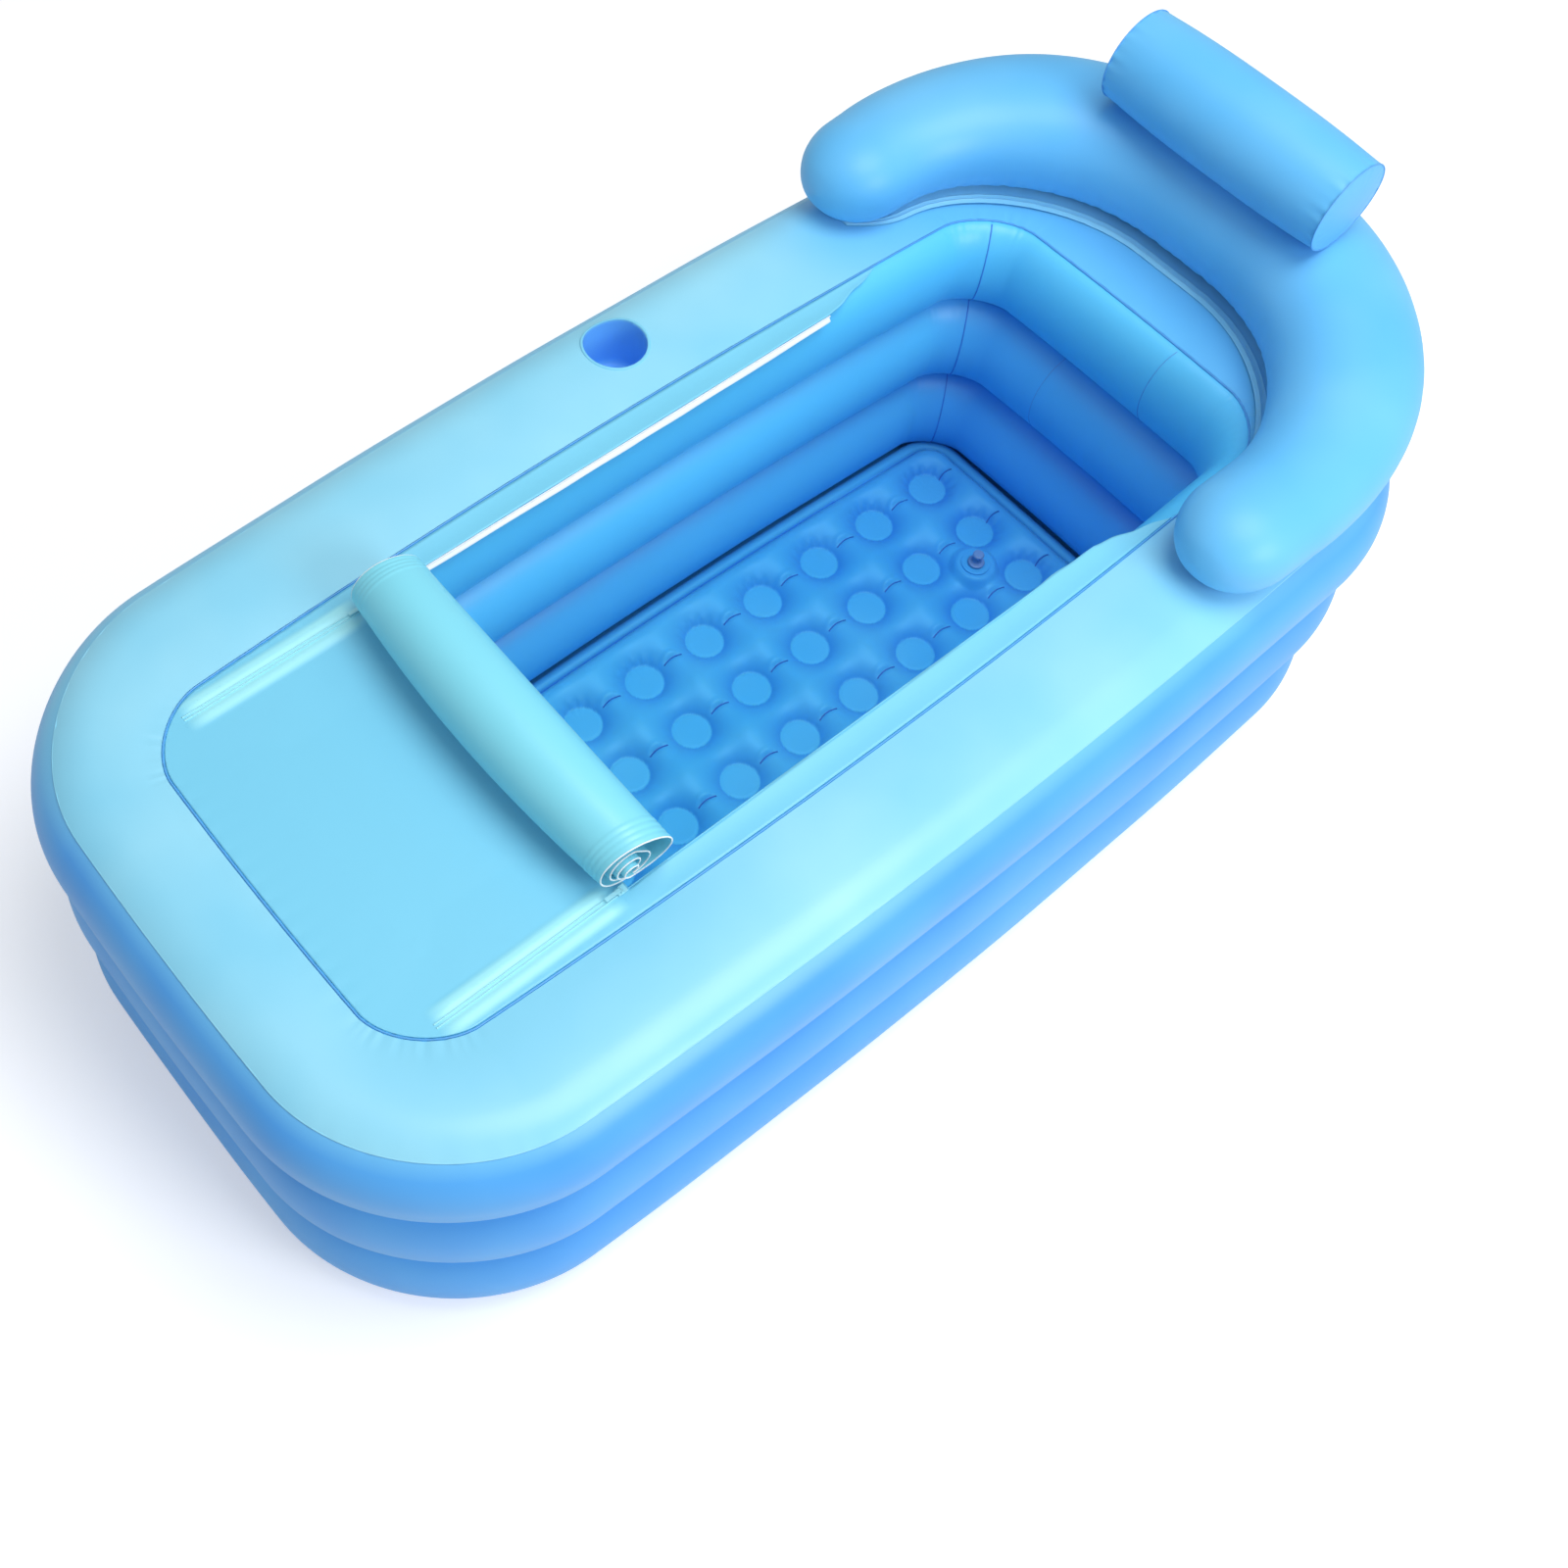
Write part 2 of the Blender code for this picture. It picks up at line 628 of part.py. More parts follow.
def floor_lines():
    """Grid lines of the cushion's top, a few cells to a dot, with a narrow edge cell at each end."""
    cell = DOT_PITCH_X / CELLS_PER_DOT
    least = cell * LEAST_CELL_SHARE
    head = FLOOR_HEAD_X - FLOOR_EDGE_BAND
    foot = FLOOR_FOOT_X + FLOOR_EDGE_BAND
    xs = [FLOOR_HEAD_X, head]
    x = DOT_FIRST_X + cell * math.floor((head - DOT_FIRST_X) / cell)
    while x > foot + least:
        if x < xs[-1] - least:
            xs.append(x)
        x -= cell
    xs += [foot, FLOOR_FOOT_X]
    rows = DOT_ROWS * CELLS_PER_DOT
    ys = [(k - rows / 2) * DOT_PITCH_Y / CELLS_PER_DOT for k in range(rows + 1)]
    return xs, ys


def floor_dip(x, y):
    """How far the top is drawn down by the nearest welded dot."""
    if math.hypot(x - DRAIN_X, y) < VALVE_PATCH or math.hypot(x - FLOOR_VALVE_X, y) < VALVE_PATCH:
        return 0.0
    column = min(max(round((DOT_FIRST_X - x) / DOT_PITCH_X), 0), DOT_COLUMNS - 1)
    row = min(max(round(y / DOT_PITCH_Y + (DOT_ROWS - 1) / 2), 0), DOT_ROWS - 1)
    dot_x = DOT_FIRST_X - column * DOT_PITCH_X
    dot_y = (row - (DOT_ROWS - 1) / 2) * DOT_PITCH_Y
    away = math.hypot(x - dot_x, y - dot_y)
    return DOT_DEPTH * max(0.0, 1 - (away / DOT_REACH) ** 2) ** 2


def make_floor():
    """The quilted floor cushion: top drawn down at each dot, side pulled in to its seam."""
    xs, ys = floor_lines()
    half_x = FLOOR_HALF_X
    corner = CORNER_RADIUS - RING_WIDTH - FLOOR_CLEARANCE
    points = []
    index = {}
    rows = len(ys)

    def inner_half(x):
        return half_width_at(x) - RING_WIDTH - FLOOR_CLEARANCE

    def rounded(x, y, half_y):
        px = max(0.0, (abs(x) - half_x + corner) / corner)
        py = max(0.0, (abs(y) - half_y + corner) / corner)
        if px <= 0 or py <= 0:
            return x, y
        nx = half_x - corner + corner * px * math.sqrt(1 - py * py / 2)
        ny = half_y - corner + corner * py * math.sqrt(1 - px * px / 2)
        return math.copysign(nx, x), math.copysign(ny, y)

    for i, x in enumerate(xs):
        from_middle = x + BATH_SHIFT
        half_y = inner_half(from_middle)
        edge_y = half_y - FLOOR_EDGE_BAND
        stretch = edge_y / max(ys[-1], edge_y)
        for j in range(rows + 2):
            if j in (0, rows + 1):
                y = -half_y if j == 0 else half_y
            else:
                y = ys[j - 1] * stretch
            rim = i in (0, len(xs) - 1) or j in (0, rows + 1)
            level = FLOOR_BOTTOM + FLOOR_EDGE_HEIGHT if rim else FLOOR_TOP - floor_dip(x, y)
            px, py = rounded(from_middle, y, half_y)
            index[i, j] = len(points)
            points.append((px - BATH_SHIFT, py, level))
    faces = []
    for i in range(len(xs) - 1):
        for j in range(rows + 1):
            faces.append((index[i, j], index[i + 1, j], index[i + 1, j + 1], index[i, j + 1]))
    last = len(xs) - 1
    rim = [index[0, j] for j in range(rows + 2)]
    rim += [index[i, rows + 1] for i in range(1, len(xs))]
    rim += [index[last, j] for j in range(rows, -1, -1)]
    rim += [index[i, 0] for i in range(last - 1, 0, -1)]
    below = []
    for k in rim:
        below.append(len(points))
        points.append((points[k][0], points[k][1], FLOOR_BOTTOM))
    for k in range(len(rim)):
        m = (k + 1) % len(rim)
        faces.append((rim[k], rim[m], below[m], below[k]))
    faces.append(tuple(below))
    blue = material("floor PVC", FLOOR_BLUE, FLOOR_ROUGHNESS)
    cushion = add_object("floor_cushion", mesh_from("floor_cushion", points, faces), blue, SOFT_SHARP_DEG)

    reach = RING_WIDTH + FLOOR_CAVITY_MARGIN
    low = FLOOR_BOTTOM + CHAMBER_WALL
    high = FLOOR_TOP - DOT_DEPTH - CHAMBER_WALL
    side = half_width_at(LENGTH / 2) - reach
    head = LENGTH / 2 - reach - BATH_SHIFT
    foot = reach - LENGTH / 2 - BATH_SHIFT
    outline = [(head, side), (foot, side), (foot, -side), (head, -side)]
    boolean(cushion, guide("floor_air_space", prism("floor_air_space", outline, low, high)))
    boolean(cushion, drain_cutter())
    add_floor_valve(cushion)


def add_floor_valve(cushion):
    """The floor's valve, on its flat patch under the zipped end of the cover."""
    add_valve("floor", cushion, (FLOOR_VALVE_X, 0, FLOOR_TOP), (0, 0, 1))
    radius = VALVE_STEM_RADIUS + GAP
    low = FLOOR_BOTTOM + 2 * CHAMBER_WALL
    profile = [(0, low), (radius, low), (radius, FLOOR_TOP + CUT_OVERRUN), (0, FLOOR_TOP + CUT_OVERRUN)]
    place = Matrix.Translation((FLOOR_VALVE_X, 0, 0))
    boolean(cushion, guide("floor_valve_well", turned("floor_valve_well", profile, VALVE_SIDES, place)))


def make_drain():
    """The drain's flanged tube through floor and base, and the plug that pulls out of it."""
    grey = material("drain plastic", DRAIN_GREY, MOULDED_ROUGHNESS)
    place = Matrix.Translation((DRAIN_X, 0, 0))
    outer = DRAIN_BORE + DRAIN_WALL
    seat = FLOOR_TOP + GAP
    top = seat + DRAIN_FLANGE
    body = [
        (DRAIN_BORE, GAP), (outer, GAP), (outer, seat),
        (DRAIN_FLANGE_RADIUS, seat), (DRAIN_FLANGE_RADIUS, top), (DRAIN_BORE, top),
    ]
    add_object("drain_body", turned("drain_body", body, ROUND_SIDES, place), grey)
    stem = DRAIN_BORE - PLUG_CLEARANCE
    head = GAP
    neck = head + PLUG_HEAD
    knob = neck + PLUG_NECK
    profile = [
        (0, head - PLUG_STEM), (stem, head - PLUG_STEM), (stem, head), (PLUG_HEAD_RADIUS, head),
        (PLUG_HEAD_RADIUS, neck), (PLUG_NECK_RADIUS, neck), (PLUG_NECK_RADIUS, knob),
        (PLUG_KNOB_RADIUS, knob), (PLUG_KNOB_RADIUS, knob + PLUG_KNOB), (0, knob + PLUG_KNOB),
    ]
    plug = add_object("drain_plug", turned("drain_plug", profile, VALVE_SIDES, Matrix()), grey)
    plug.location = (DRAIN_X, 0, top)


def make_cover():
    """The cover sheet inside the inner seam: the foot end, and two side strips that taper out."""
    cyan = material("cover PVC", COVER_CYAN, FILM_ROUGHNESS)
    inset = INNER_SEAM_INSET + 3 * GAP + BEAD
    outline = plan_outline(inset)
    sheet = add_object("cover_sheet", prism("cover_sheet", outline, COVER_BOTTOM, COVER_TOP), cyan)
    low = COVER_BOTTOM - CUT_OVERRUN
    high = COVER_TOP + CUT_OVERRUN
    edge = ZIP_Y + SLOT_HALF
    seam = half_width_at(STRIP_END_X + BATH_SHIFT) - INNER_SEAM_INSET
    far_side = [(ROLL_X, edge), (ZIP_HEAD_X, edge), (STRIP_END_X, seam)]
    far_side += [(STRIP_END_X, WIDTH / 2), (LENGTH / 2, WIDTH / 2)]
    opening = far_side + [(x, -y) for x, y in reversed(far_side)]
    boolean(sheet, guide("cover_opening", prism("cover_opening", opening, low, high)))
    for name, sign in (("far", 1), ("near", -1)):
        sides = sorted((sign * (ZIP_Y - SLOT_HALF), sign * (ZIP_Y + SLOT_HALF)))
        slot = box_mesh(
            "zip_slot_" + name,
            (ZIP_FOOT_X - GAP, sides[0], low),
            (ROLL_X + CUT_OVERRUN, sides[1], high),
        )
        boolean(sheet, guide("zip_slot_" + name, slot))
        make_zip(name, sign)


def make_zip(name, sign):
    """One zip: the half on the side strip, the half on the cover, and the slider with its pull."""
    white = material("zip coil", ZIP_WHITE, COIL_ROUGHNESS)
    half = ZIP_THICKNESS / 2
    inner = ZIP_SPACE / 2
    outer = inner + ZIP_HALF_WIDTH
    for label, near, far, head in (
        ("fixed", inner, outer, ZIP_HEAD_X),
        ("cover", -outer, -inner, ROLL_X),
    ):
        sides = sorted((sign * (ZIP_Y + near), sign * (ZIP_Y + far)))
        node = "zip_" + name + "_" + label
        low = (ZIP_FOOT_X, sides[0], COVER_MID - half)
        high = (head, sides[1], COVER_MID + half)
        add_object(node, box_mesh(node, low, high), white)
    make_slider(name, sign)


def make_slider(name, sign):
    """The slider straddles both halves; its post runs in the space between them."""
    white = material("zip coil", ZIP_WHITE, COIL_ROUGHNESS)
    inner = ZIP_THICKNESS / 2 + SLIDER_CLEARANCE
    outer = inner + SLIDER_PLATE
    length = SLIDER_LENGTH / 2
    width = SLIDER_WIDTH / 2
    post = SLIDER_POST_WIDTH / 2
    top = box_mesh("slider_" + name, (-length, -width, inner), (length, width, outer))
    slider = add_object("slider_" + name, top, white)
    slider.location = (ROLL_X - length, sign * ZIP_Y, COVER_MID)
    bottom = box_mesh("slider_lower_" + name, (-length, -width, -outer), (length, width, -inner))
    lower = guide("slider_lower_" + name, bottom)
    bridge_low = (-SLIDER_POST_LENGTH / 2, -post, -outer + SLIDER_PLATE / 2)
    bridge_high = (SLIDER_POST_LENGTH / 2, post, outer - SLIDER_PLATE / 2)
    bridge = guide("slider_post_" + name, box_mesh("slider_post_" + name, bridge_low, bridge_high))
    ear_in = PULL_WIDTH / 2 + GAP
    pivot = outer + PULL_BARREL_RADIUS + SLIDER_CLEARANCE
    ear_top = pivot + PULL_BARREL_RADIUS
    pieces = [lower, bridge]
    for side in (-1, 1):
        sides = sorted((side * ear_in, side * (ear_in + EAR_THICKNESS)))
        label = "slider_ear_" + name + ("_a" if side < 0 else "_b")
        low = (-EAR_LENGTH / 2, sides[0], outer - SLIDER_PLATE / 2)
        high = (EAR_LENGTH / 2, sides[1], ear_top)
        pieces.append(guide(label, box_mesh(label, low, high)))
    for piece in pieces:
        piece.location = slider.location
        boolean(slider, piece, "UNION")
    reach = ear_in + EAR_THICKNESS
    along_y = Matrix.Translation((0, 0, pivot)) @ Matrix.Rotation(math.pi / 2, 4, "X")
    pin_hole = PULL_PIN_RADIUS + PIN_CLEARANCE
    through = reach + CUT_OVERRUN
    hole = [(0, -through), (pin_hole, -through), (pin_hole, through), (0, through)]
    cutter = guide("slider_pin_hole_" + name, turned("slider_pin_hole_" + name, hole, VALVE_SIDES, along_y))
    cutter.location = slider.location
    boolean(slider, cutter)

    barrel = PULL_WIDTH / 2
    pin_end = reach - GAP
    profile = [
        (0, -pin_end), (PULL_PIN_RADIUS, -pin_end), (PULL_PIN_RADIUS, -barrel),
        (PULL_BARREL_RADIUS, -barrel), (PULL_BARREL_RADIUS, barrel),
        (PULL_PIN_RADIUS, barrel), (PULL_PIN_RADIUS, pin_end), (0, pin_end),
    ]
    mesh = turned("pull_" + name, profile, VALVE_SIDES, Matrix.Rotation(math.pi / 2, 4, "X"))
    pull = add_object("pull_" + name, mesh, white)
    pull.location = slider.location + Vector((0, 0, pivot))
    low = (-PULL_LENGTH, -barrel, -PULL_THICKNESS / 2)
    high = (0, barrel, PULL_THICKNESS / 2)
    blade = guide("pull_blade_" + name, box_mesh("pull_blade_" + name, low, high))
    blade.location = pull.location
    boolean(pull, blade, "UNION")


def make_roll():
    """The rolled part of the cover: one spiral strip, fuller in the middle than at its ends."""
    cyan = material("rolled cover PVC", ROLL_CYAN, FILM_ROUGHNESS)
    half = ZIP_Y - SLIDER_WIDTH / 2 - ROLL_END_SPACE
    steps = round(ROLL_TURNS * ROLL_TURN_STEPS)
    loops = []
    for row in range(ROLL_ROWS + 1):
        y = half * (2 * row / ROLL_ROWS - 1)
        swell = ROLL_CROWN * (1 - (y / half) ** 2)
        outside = ROLL_END_RADIUS + swell
        x = ROLL_X + ROLL_AHEAD + ROLL_SKEW * y / half
        middle = Vector((x, COVER_TOP + GAP + outside))
        scale = outside / ROLL_END_RADIUS
        outer = []
        inner = []
        for k in range(steps + 1):
            angle = -math.pi / 2 + math.tau * k / ROLL_TURN_STEPS
            share = k / steps
            radius = ROLL_END_RADIUS + (ROLL_CORE_RADIUS - ROLL_END_RADIUS) * share
            ray = Vector((-math.cos(angle), math.sin(angle)))
            outer.append(middle + ray * radius * scale)
            inner.append(middle + ray * (radius * scale - ROLL_SHEET))
        loops.append([(p.x, y, p.y) for p in outer + inner[::-1]])
    add_object("cover_roll", lofted("cover_roll", loops, closed=False), cyan)


def backrest_path():
    """Points and running lengths of the backrest's middle line, far tip to near tip.

    The backrest lies a little towards the far side, and its near arm reaches further.
    """
    bend_x = LENGTH / 2 - BACKREST_HEAD_INSET - BACKREST_BEND_RADIUS
    bend_y = half_width_at(bend_x) - BACKREST_INSET - BACKREST_BEND_RADIUS
    half = []
    for k in range(ARM_PATH_STEPS):
        x = BACKREST_TIP_X + (bend_x - BACKREST_TIP_X) * k / ARM_PATH_STEPS
        half.append(Vector((x, half_width_at(x) - BACKREST_INSET)))
    for k in range(BEND_PATH_STEPS + 1):
        angle = math.pi / 2 * k / BEND_PATH_STEPS
        arm = Vector((math.sin(angle), math.cos(angle)))
        half.append(Vector((bend_x, bend_y)) + arm * BACKREST_BEND_RADIUS)
    line = half + [Vector((p.x, -p.y)) for p in reversed(half)]
    head = LENGTH / 2 - BACKREST_HEAD_INSET
    for point in line:
        share = (head - point.x) / (head - BACKREST_TIP_X)
        share = share * share
        point.x += math.copysign(ARM_SKEW, point.y) * share
        point.y += BACKREST_SIDE - math.copysign(ARM_IN, point.y) * share
    lengths = [0.0]
    for a, b in zip(line, line[1:]):
        lengths.append(lengths[-1] + (b - a).length)
    return line, lengths


def on_path(line, lengths, at):
    for k in range(len(line) - 1):
        if at <= lengths[k + 1] or k == len(line) - 2:
            share = (at - lengths[k]) / (lengths[k + 1] - lengths[k])
            return line[k].lerp(line[k + 1], share), (line[k + 1] - line[k]).normalized()


def make_backrest():
    """The horseshoe backrest, fuller at the head, pressed flat where it is welded to the deck."""
    blue = material("ring PVC", RING_BLUE, FILM_ROUGHNESS)
    line, lengths = backrest_path()
    total = lengths[-1]
    stations = [BACKREST_TIP_LENGTH * share for share in BACKREST_TIP_SHARES]
    span = total - 2 * BACKREST_TIP_LENGTH
    middle = [BACKREST_TIP_LENGTH + span * k / BACKREST_STEPS for k in range(1, BACKREST_STEPS)]
    stations = stations + middle + [total - s for s in reversed(stations)]
    sides = BACKREST_SIDES
    floor = SKIN_TOP + 2 * GAP + SHEET
    rise_start = BACKREST_TIP_X + BACKREST_TIP_LENGTH
    rise_length = LENGTH / 2 - BACKREST_HEAD_INSET - rise_start
    loops = []
    for at in stations:
        spot, along = on_path(line, lengths, at)
        rise = min(max((spot.x - rise_start) / rise_length, 0), 1)
        rise = rise * rise * (3 - 2 * rise)
        width = BACKREST_ARM_HALF_WIDTH + (BACKREST_HEAD_HALF_WIDTH - BACKREST_ARM_HALF_WIDTH) * rise
        height = BACKREST_ARM_HALF_HEIGHT + (BACKREST_HEAD_HALF_HEIGHT - BACKREST_ARM_HALF_HEIGHT) * rise
        from_tip = min(at, total - at) / BACKREST_TIP_LENGTH
        close = math.sqrt(max(0.0, 1 - (1 - min(from_tip, 1.0)) ** 2))
        across = Vector((-along.y, along.x))
        centre = floor + height - BACKREST_PRESS
        loop = []
        for k in range(sides):
            angle = math.tau * (k + 0.5) / sides
            side = across * width * close * math.cos(angle)
            level = max(centre + height * close * math.sin(angle), floor)
            loop.append((spot.x + side.x, spot.y + side.y, level))
        loops.append(loop)
    rest = add_object("backrest", lofted("backrest", loops, closed=False), blue, SOFT_SHARP_DEG)
    hollow(rest)
    facet = math.cos(math.pi / sides)
    back_x = LENGTH / 2 - BACKREST_HEAD_INSET + BACKREST_HEAD_HALF_WIDTH * facet
    level = floor + BACKREST_HEAD_HALF_HEIGHT - BACKREST_PRESS
    add_valve("backrest", rest, (back_x, BACKREST_SIDE, level), (1, 0, 0))
    make_hem()
    return floor + BACKREST_HEAD_HALF_HEIGHT * (1 + facet) - BACKREST_PRESS


def make_hem():
    """The flat welded hem that shows along the inner foot of the backrest."""
    weld = material("weld line", WELD_BLUE, WELD_ROUGHNESS)
    line, lengths = backrest_path()
    span = lengths[-1] - 2 * HEM_END_SPACE
    low = SKIN_TOP + GAP
    loops = []
    for k in range(HEM_STEPS + 1):
        spot, along = on_path(line, lengths, HEM_END_SPACE + span * k / HEM_STEPS)
        inward = Vector((along.y, -along.x))
        start = spot + inward * HEM_START
        end = start + inward * HEM_WIDTH
        loops.append([(*start, low), (*end, low), (*end, low + SHEET), (*start, low + SHEET)])
    add_object("backrest_hem", lofted("backrest_hem", loops, closed=False), weld)


def make_pillow(seat):
    """The round pillow that lies across the top of the backrest, with a seam round each end."""
    blue = material("ring PVC", RING_BLUE, FILM_ROUGHNESS)
    weld = material("weld line", WELD_BLUE, WELD_ROUGHNESS)
    half = PILLOW_LENGTH / 2
    facet = math.cos(math.pi / PILLOW_SIDES)
    x = LENGTH / 2 - BACKREST_HEAD_INSET - PILLOW_FORWARD
    z = seat + GAP + PILLOW_RADIUS * facet
    place = Matrix.Translation((x, PILLOW_SIDE, z)) @ Matrix.Rotation(math.pi / 2, 4, "X")
    radius_share, bulge_share = PILLOW_CAP_SHARES
    quarter = [
        (0, half),
        (PILLOW_END_RADIUS * radius_share, half - PILLOW_CAP_BULGE * bulge_share),
        (PILLOW_END_RADIUS, half - PILLOW_CAP_BULGE),
    ]
    for along_share, swell_share in PILLOW_SWELL_SHARES:
        radius = PILLOW_END_RADIUS + (PILLOW_RADIUS - PILLOW_END_RADIUS) * swell_share
        quarter.append((radius, half * along_share))
    profile = [(radius, -at) for radius, at in quarter] + quarter[::-1]
    pillow = add_object("pillow", turned("pillow", profile, PILLOW_SIDES, place), blue, SOFT_SHARP_DEG)
    hollow(pillow)
    add_valve("pillow", pillow, (x + PILLOW_RADIUS * facet, PILLOW_SIDE, z), (1, 0, 0))
    ring = PILLOW_END_RADIUS + GAP
    for name, sign in (("far", -1), ("near", 1)):
        at = sign * (half - PILLOW_CAP_BULGE)
        edge = at + sign * PILLOW_SEAM
        profile = [(ring, at), (ring + PILLOW_SEAM, at), (ring + PILLOW_SEAM, edge), (ring, edge)]
        label = "pillow_seam_" + name
        add_object(label, turned(label, profile, PILLOW_SIDES, place), weld)


def main():
    clear_scene()
    make_base()
    rings = make_rings()
    make_deck(rings[-1])
    make_weld_bands()
    make_floor()
    make_drain()
    make_cover()
    make_roll()
    top = make_backrest()
    make_pillow(top)


main()
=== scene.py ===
"""Inflatable bathtub: the finished look of every piece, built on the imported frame.

Laid out as an add-on and run as a script. Metres, +Z up, +X to the head end with the backrest,
+Y to the side with the cup holder, and the origin on the floor under the middle of the rings.
"""
import math

import bmesh
import bpy
import numpy as np
from bpy.props import FloatProperty, FloatVectorProperty, IntProperty, PointerProperty
from mathutils import Matrix, Vector


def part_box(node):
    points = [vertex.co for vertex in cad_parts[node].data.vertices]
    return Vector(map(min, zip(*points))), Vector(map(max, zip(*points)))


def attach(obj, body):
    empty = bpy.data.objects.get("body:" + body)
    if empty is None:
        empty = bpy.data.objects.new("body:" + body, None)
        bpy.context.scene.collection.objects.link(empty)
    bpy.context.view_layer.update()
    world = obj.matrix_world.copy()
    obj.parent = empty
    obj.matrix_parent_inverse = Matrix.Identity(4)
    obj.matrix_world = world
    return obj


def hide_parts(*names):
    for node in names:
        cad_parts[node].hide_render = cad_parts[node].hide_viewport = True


bl_info = {
    "name": "Inflatable bathtub",
    "version": (1, 0, 0),
    "blender": (4, 5, 0),
    "location": "3D View > Sidebar > Bathtub",
    "description": "Builds the film, seams, quilting, zips and rolled cover of an inflatable bathtub",
    "category": "Add Mesh",
}

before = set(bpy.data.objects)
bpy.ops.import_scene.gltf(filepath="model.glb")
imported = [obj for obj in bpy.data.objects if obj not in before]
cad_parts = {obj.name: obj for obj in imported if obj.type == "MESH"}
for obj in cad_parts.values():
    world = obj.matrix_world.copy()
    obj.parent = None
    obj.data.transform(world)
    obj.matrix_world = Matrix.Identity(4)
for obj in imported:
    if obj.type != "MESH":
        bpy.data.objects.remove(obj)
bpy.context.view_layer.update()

# Heights that the frame gives
RINGS = ["ring_lower", "ring_middle", "ring_upper"]
RING_BASES = [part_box(name)[0].z for name in RINGS]
SHELL_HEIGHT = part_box("ring_lower")[1].z - RING_BASES[0]
COVER_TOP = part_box("cover_sheet")[1].z
HEM_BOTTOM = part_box("backrest_hem")[0].z
REST_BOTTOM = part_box("backrest")[0].z
FLOOR_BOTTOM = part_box("floor_cushion")[0].z
FLOOR_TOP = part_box("floor_cushion")[1].z
ZIP_Y = (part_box("slider_far")[0].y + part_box("slider_far")[1].y) / 2

# Shape constants of the sections, repeated from the part's source
FILM = 0.0010
GAP = 0.0003
SEAM_ANGLE = math.radians(58.0)
DECK_CROWN_INSET = 0.075
DECK_DEPTH = 0.07886
DECK_DROP = 0.006
INNER_BULGE = 0.035
WELD_DEPTH = 0.0125

# The photograph's camera, fitted to the seams of the tub in a square frame
CAMERA_LENS = 42.106
CAMERA_SHIFT = (0.10323, -0.02640)
CAMERA_SPOT = (-0.94045, -0.77406, 2.05404)
CAMERA_AXES = (
    (0.767940, -0.638935, 0.045058),
    (0.533784, 0.677266, 0.506345),
    (-0.354038, -0.364791, 0.861153),
)

# Strength of the white surroundings as light, and what the camera sees the floor lifted by
WORLD_LIGHT = 0.42
FLOOR_LIFT = 0.34


def linear(hex_code):
    """An sRGB hex colour as linear red, green and blue."""
    parts = [int(hex_code[k:k + 2], 16) / 255 for k in (1, 3, 5)]
    return tuple(p / 12.92 if p <= 0.04045 else ((p + 0.055) / 1.055) ** 2.4 for p in parts)


def colour_setting(name, description, hex_code):
    return FloatVectorProperty(
        name=name, description=description, subtype="COLOR", size=3, min=0.0, max=1.0,
        default=linear(hex_code),
    )


def length_setting(name, description, metres):
    return FloatProperty(name=name, description=description, default=metres, unit="LENGTH", precision=4)


class TubPlan(bpy.types.PropertyGroup):
    """Sizes of the stacked rings and of the bath inside them."""
    length: length_setting("Length", "Outside length of the rings", 1.60)
    width: length_setting("Width", "Outside width of the rings", 0.84)
    side_bow: length_setting("Side bow", "How far the long sides bow out", 0.027)
    end_bow: length_setting("End bow", "How far the ends bow out", 0.015)
    corner_radius: length_setting("Corner radius", "Outside radius of the corners", 0.230)
    ring_width: length_setting("Ring width", "Width of each air ring", 0.200)
    ring_bulge: length_setting("Wall bulge", "How far a wall swells past its welds", 0.050)
    bath_shift: length_setting("Bath shift", "How far the bath lies towards the foot", 0.0275)
    pucker: length_setting("Pucker", "Depth of the small puckers along the welds", 0.0007)
    step: length_setting("Mesh step", "Spacing of the sections round the rings", 0.0085)


class TubFloor(bpy.types.PropertyGroup):
    """Sizes of the quilted floor cushion."""
    pitch_x: length_setting("Dot pitch along", "Spacing of the welded dots along the tub", 0.105)
    pitch_y: length_setting("Dot pitch across", "Spacing of the welded dots across the tub", 0.095)
    first_x: length_setting("First dots", "Where the head row of dots lies", 0.5055)
    dot_radius: length_setting("Dot radius", "Radius of a welded dot", 0.0255)
    dot_depth: length_setting("Dot depth", "How far a dot is drawn down", 0.023)
    crease: length_setting("Crease depth", "Depth of the creases between dots", 0.0030)
    step: length_setting("Mesh step", "Spacing of the cushion's grid", 0.0021)
    columns: IntProperty(name="Dot columns", description="Welded dots along the tub", default=11, min=1)
    rows: IntProperty(name="Dot rows", description="Welded dots across the tub", default=4, min=1)


class TubCover(bpy.types.PropertyGroup):
    """Sizes of the zipped cover and its roll."""
    tooth_pitch: length_setting("Tooth pitch", "Spacing of the zip's teeth, drawn coarse to show", 0.0024)
    turns: FloatProperty(name="Turns", description="Turns of the rolled cover", default=4.1, min=1.0)
    sheet: length_setting("Rolled sheet", "Thickness of the rolled sheet", 0.0014)
    core: length_setting("Roll core", "Radius at the middle of the roll", 0.0060)
    coil: length_setting("Inner coil", "Radius of the tight coil inside the loose outer turn", 0.0235)
    end_radius: length_setting("End radius", "Radius at the ends of the roll", 0.0420)
    crown: length_setting("Crown", "How much fuller the roll is in its middle", 0.0060)
    ahead: length_setting("Ahead", "How far the roll lies ahead of the closed cover's edge", 0.005)
    skew: length_setting("Skew", "How far the far end of the roll lies ahead", 0.003)
    bow: length_setting("Bow", "How far both ends of the roll lie ahead of its middle", 0.009)
    telescope: length_setting("Telescope", "How far the upper turns slide towards the near side", 0.0062)
    sag: length_setting("Sag", "How far the closed part of the cover sags", 0.0035)


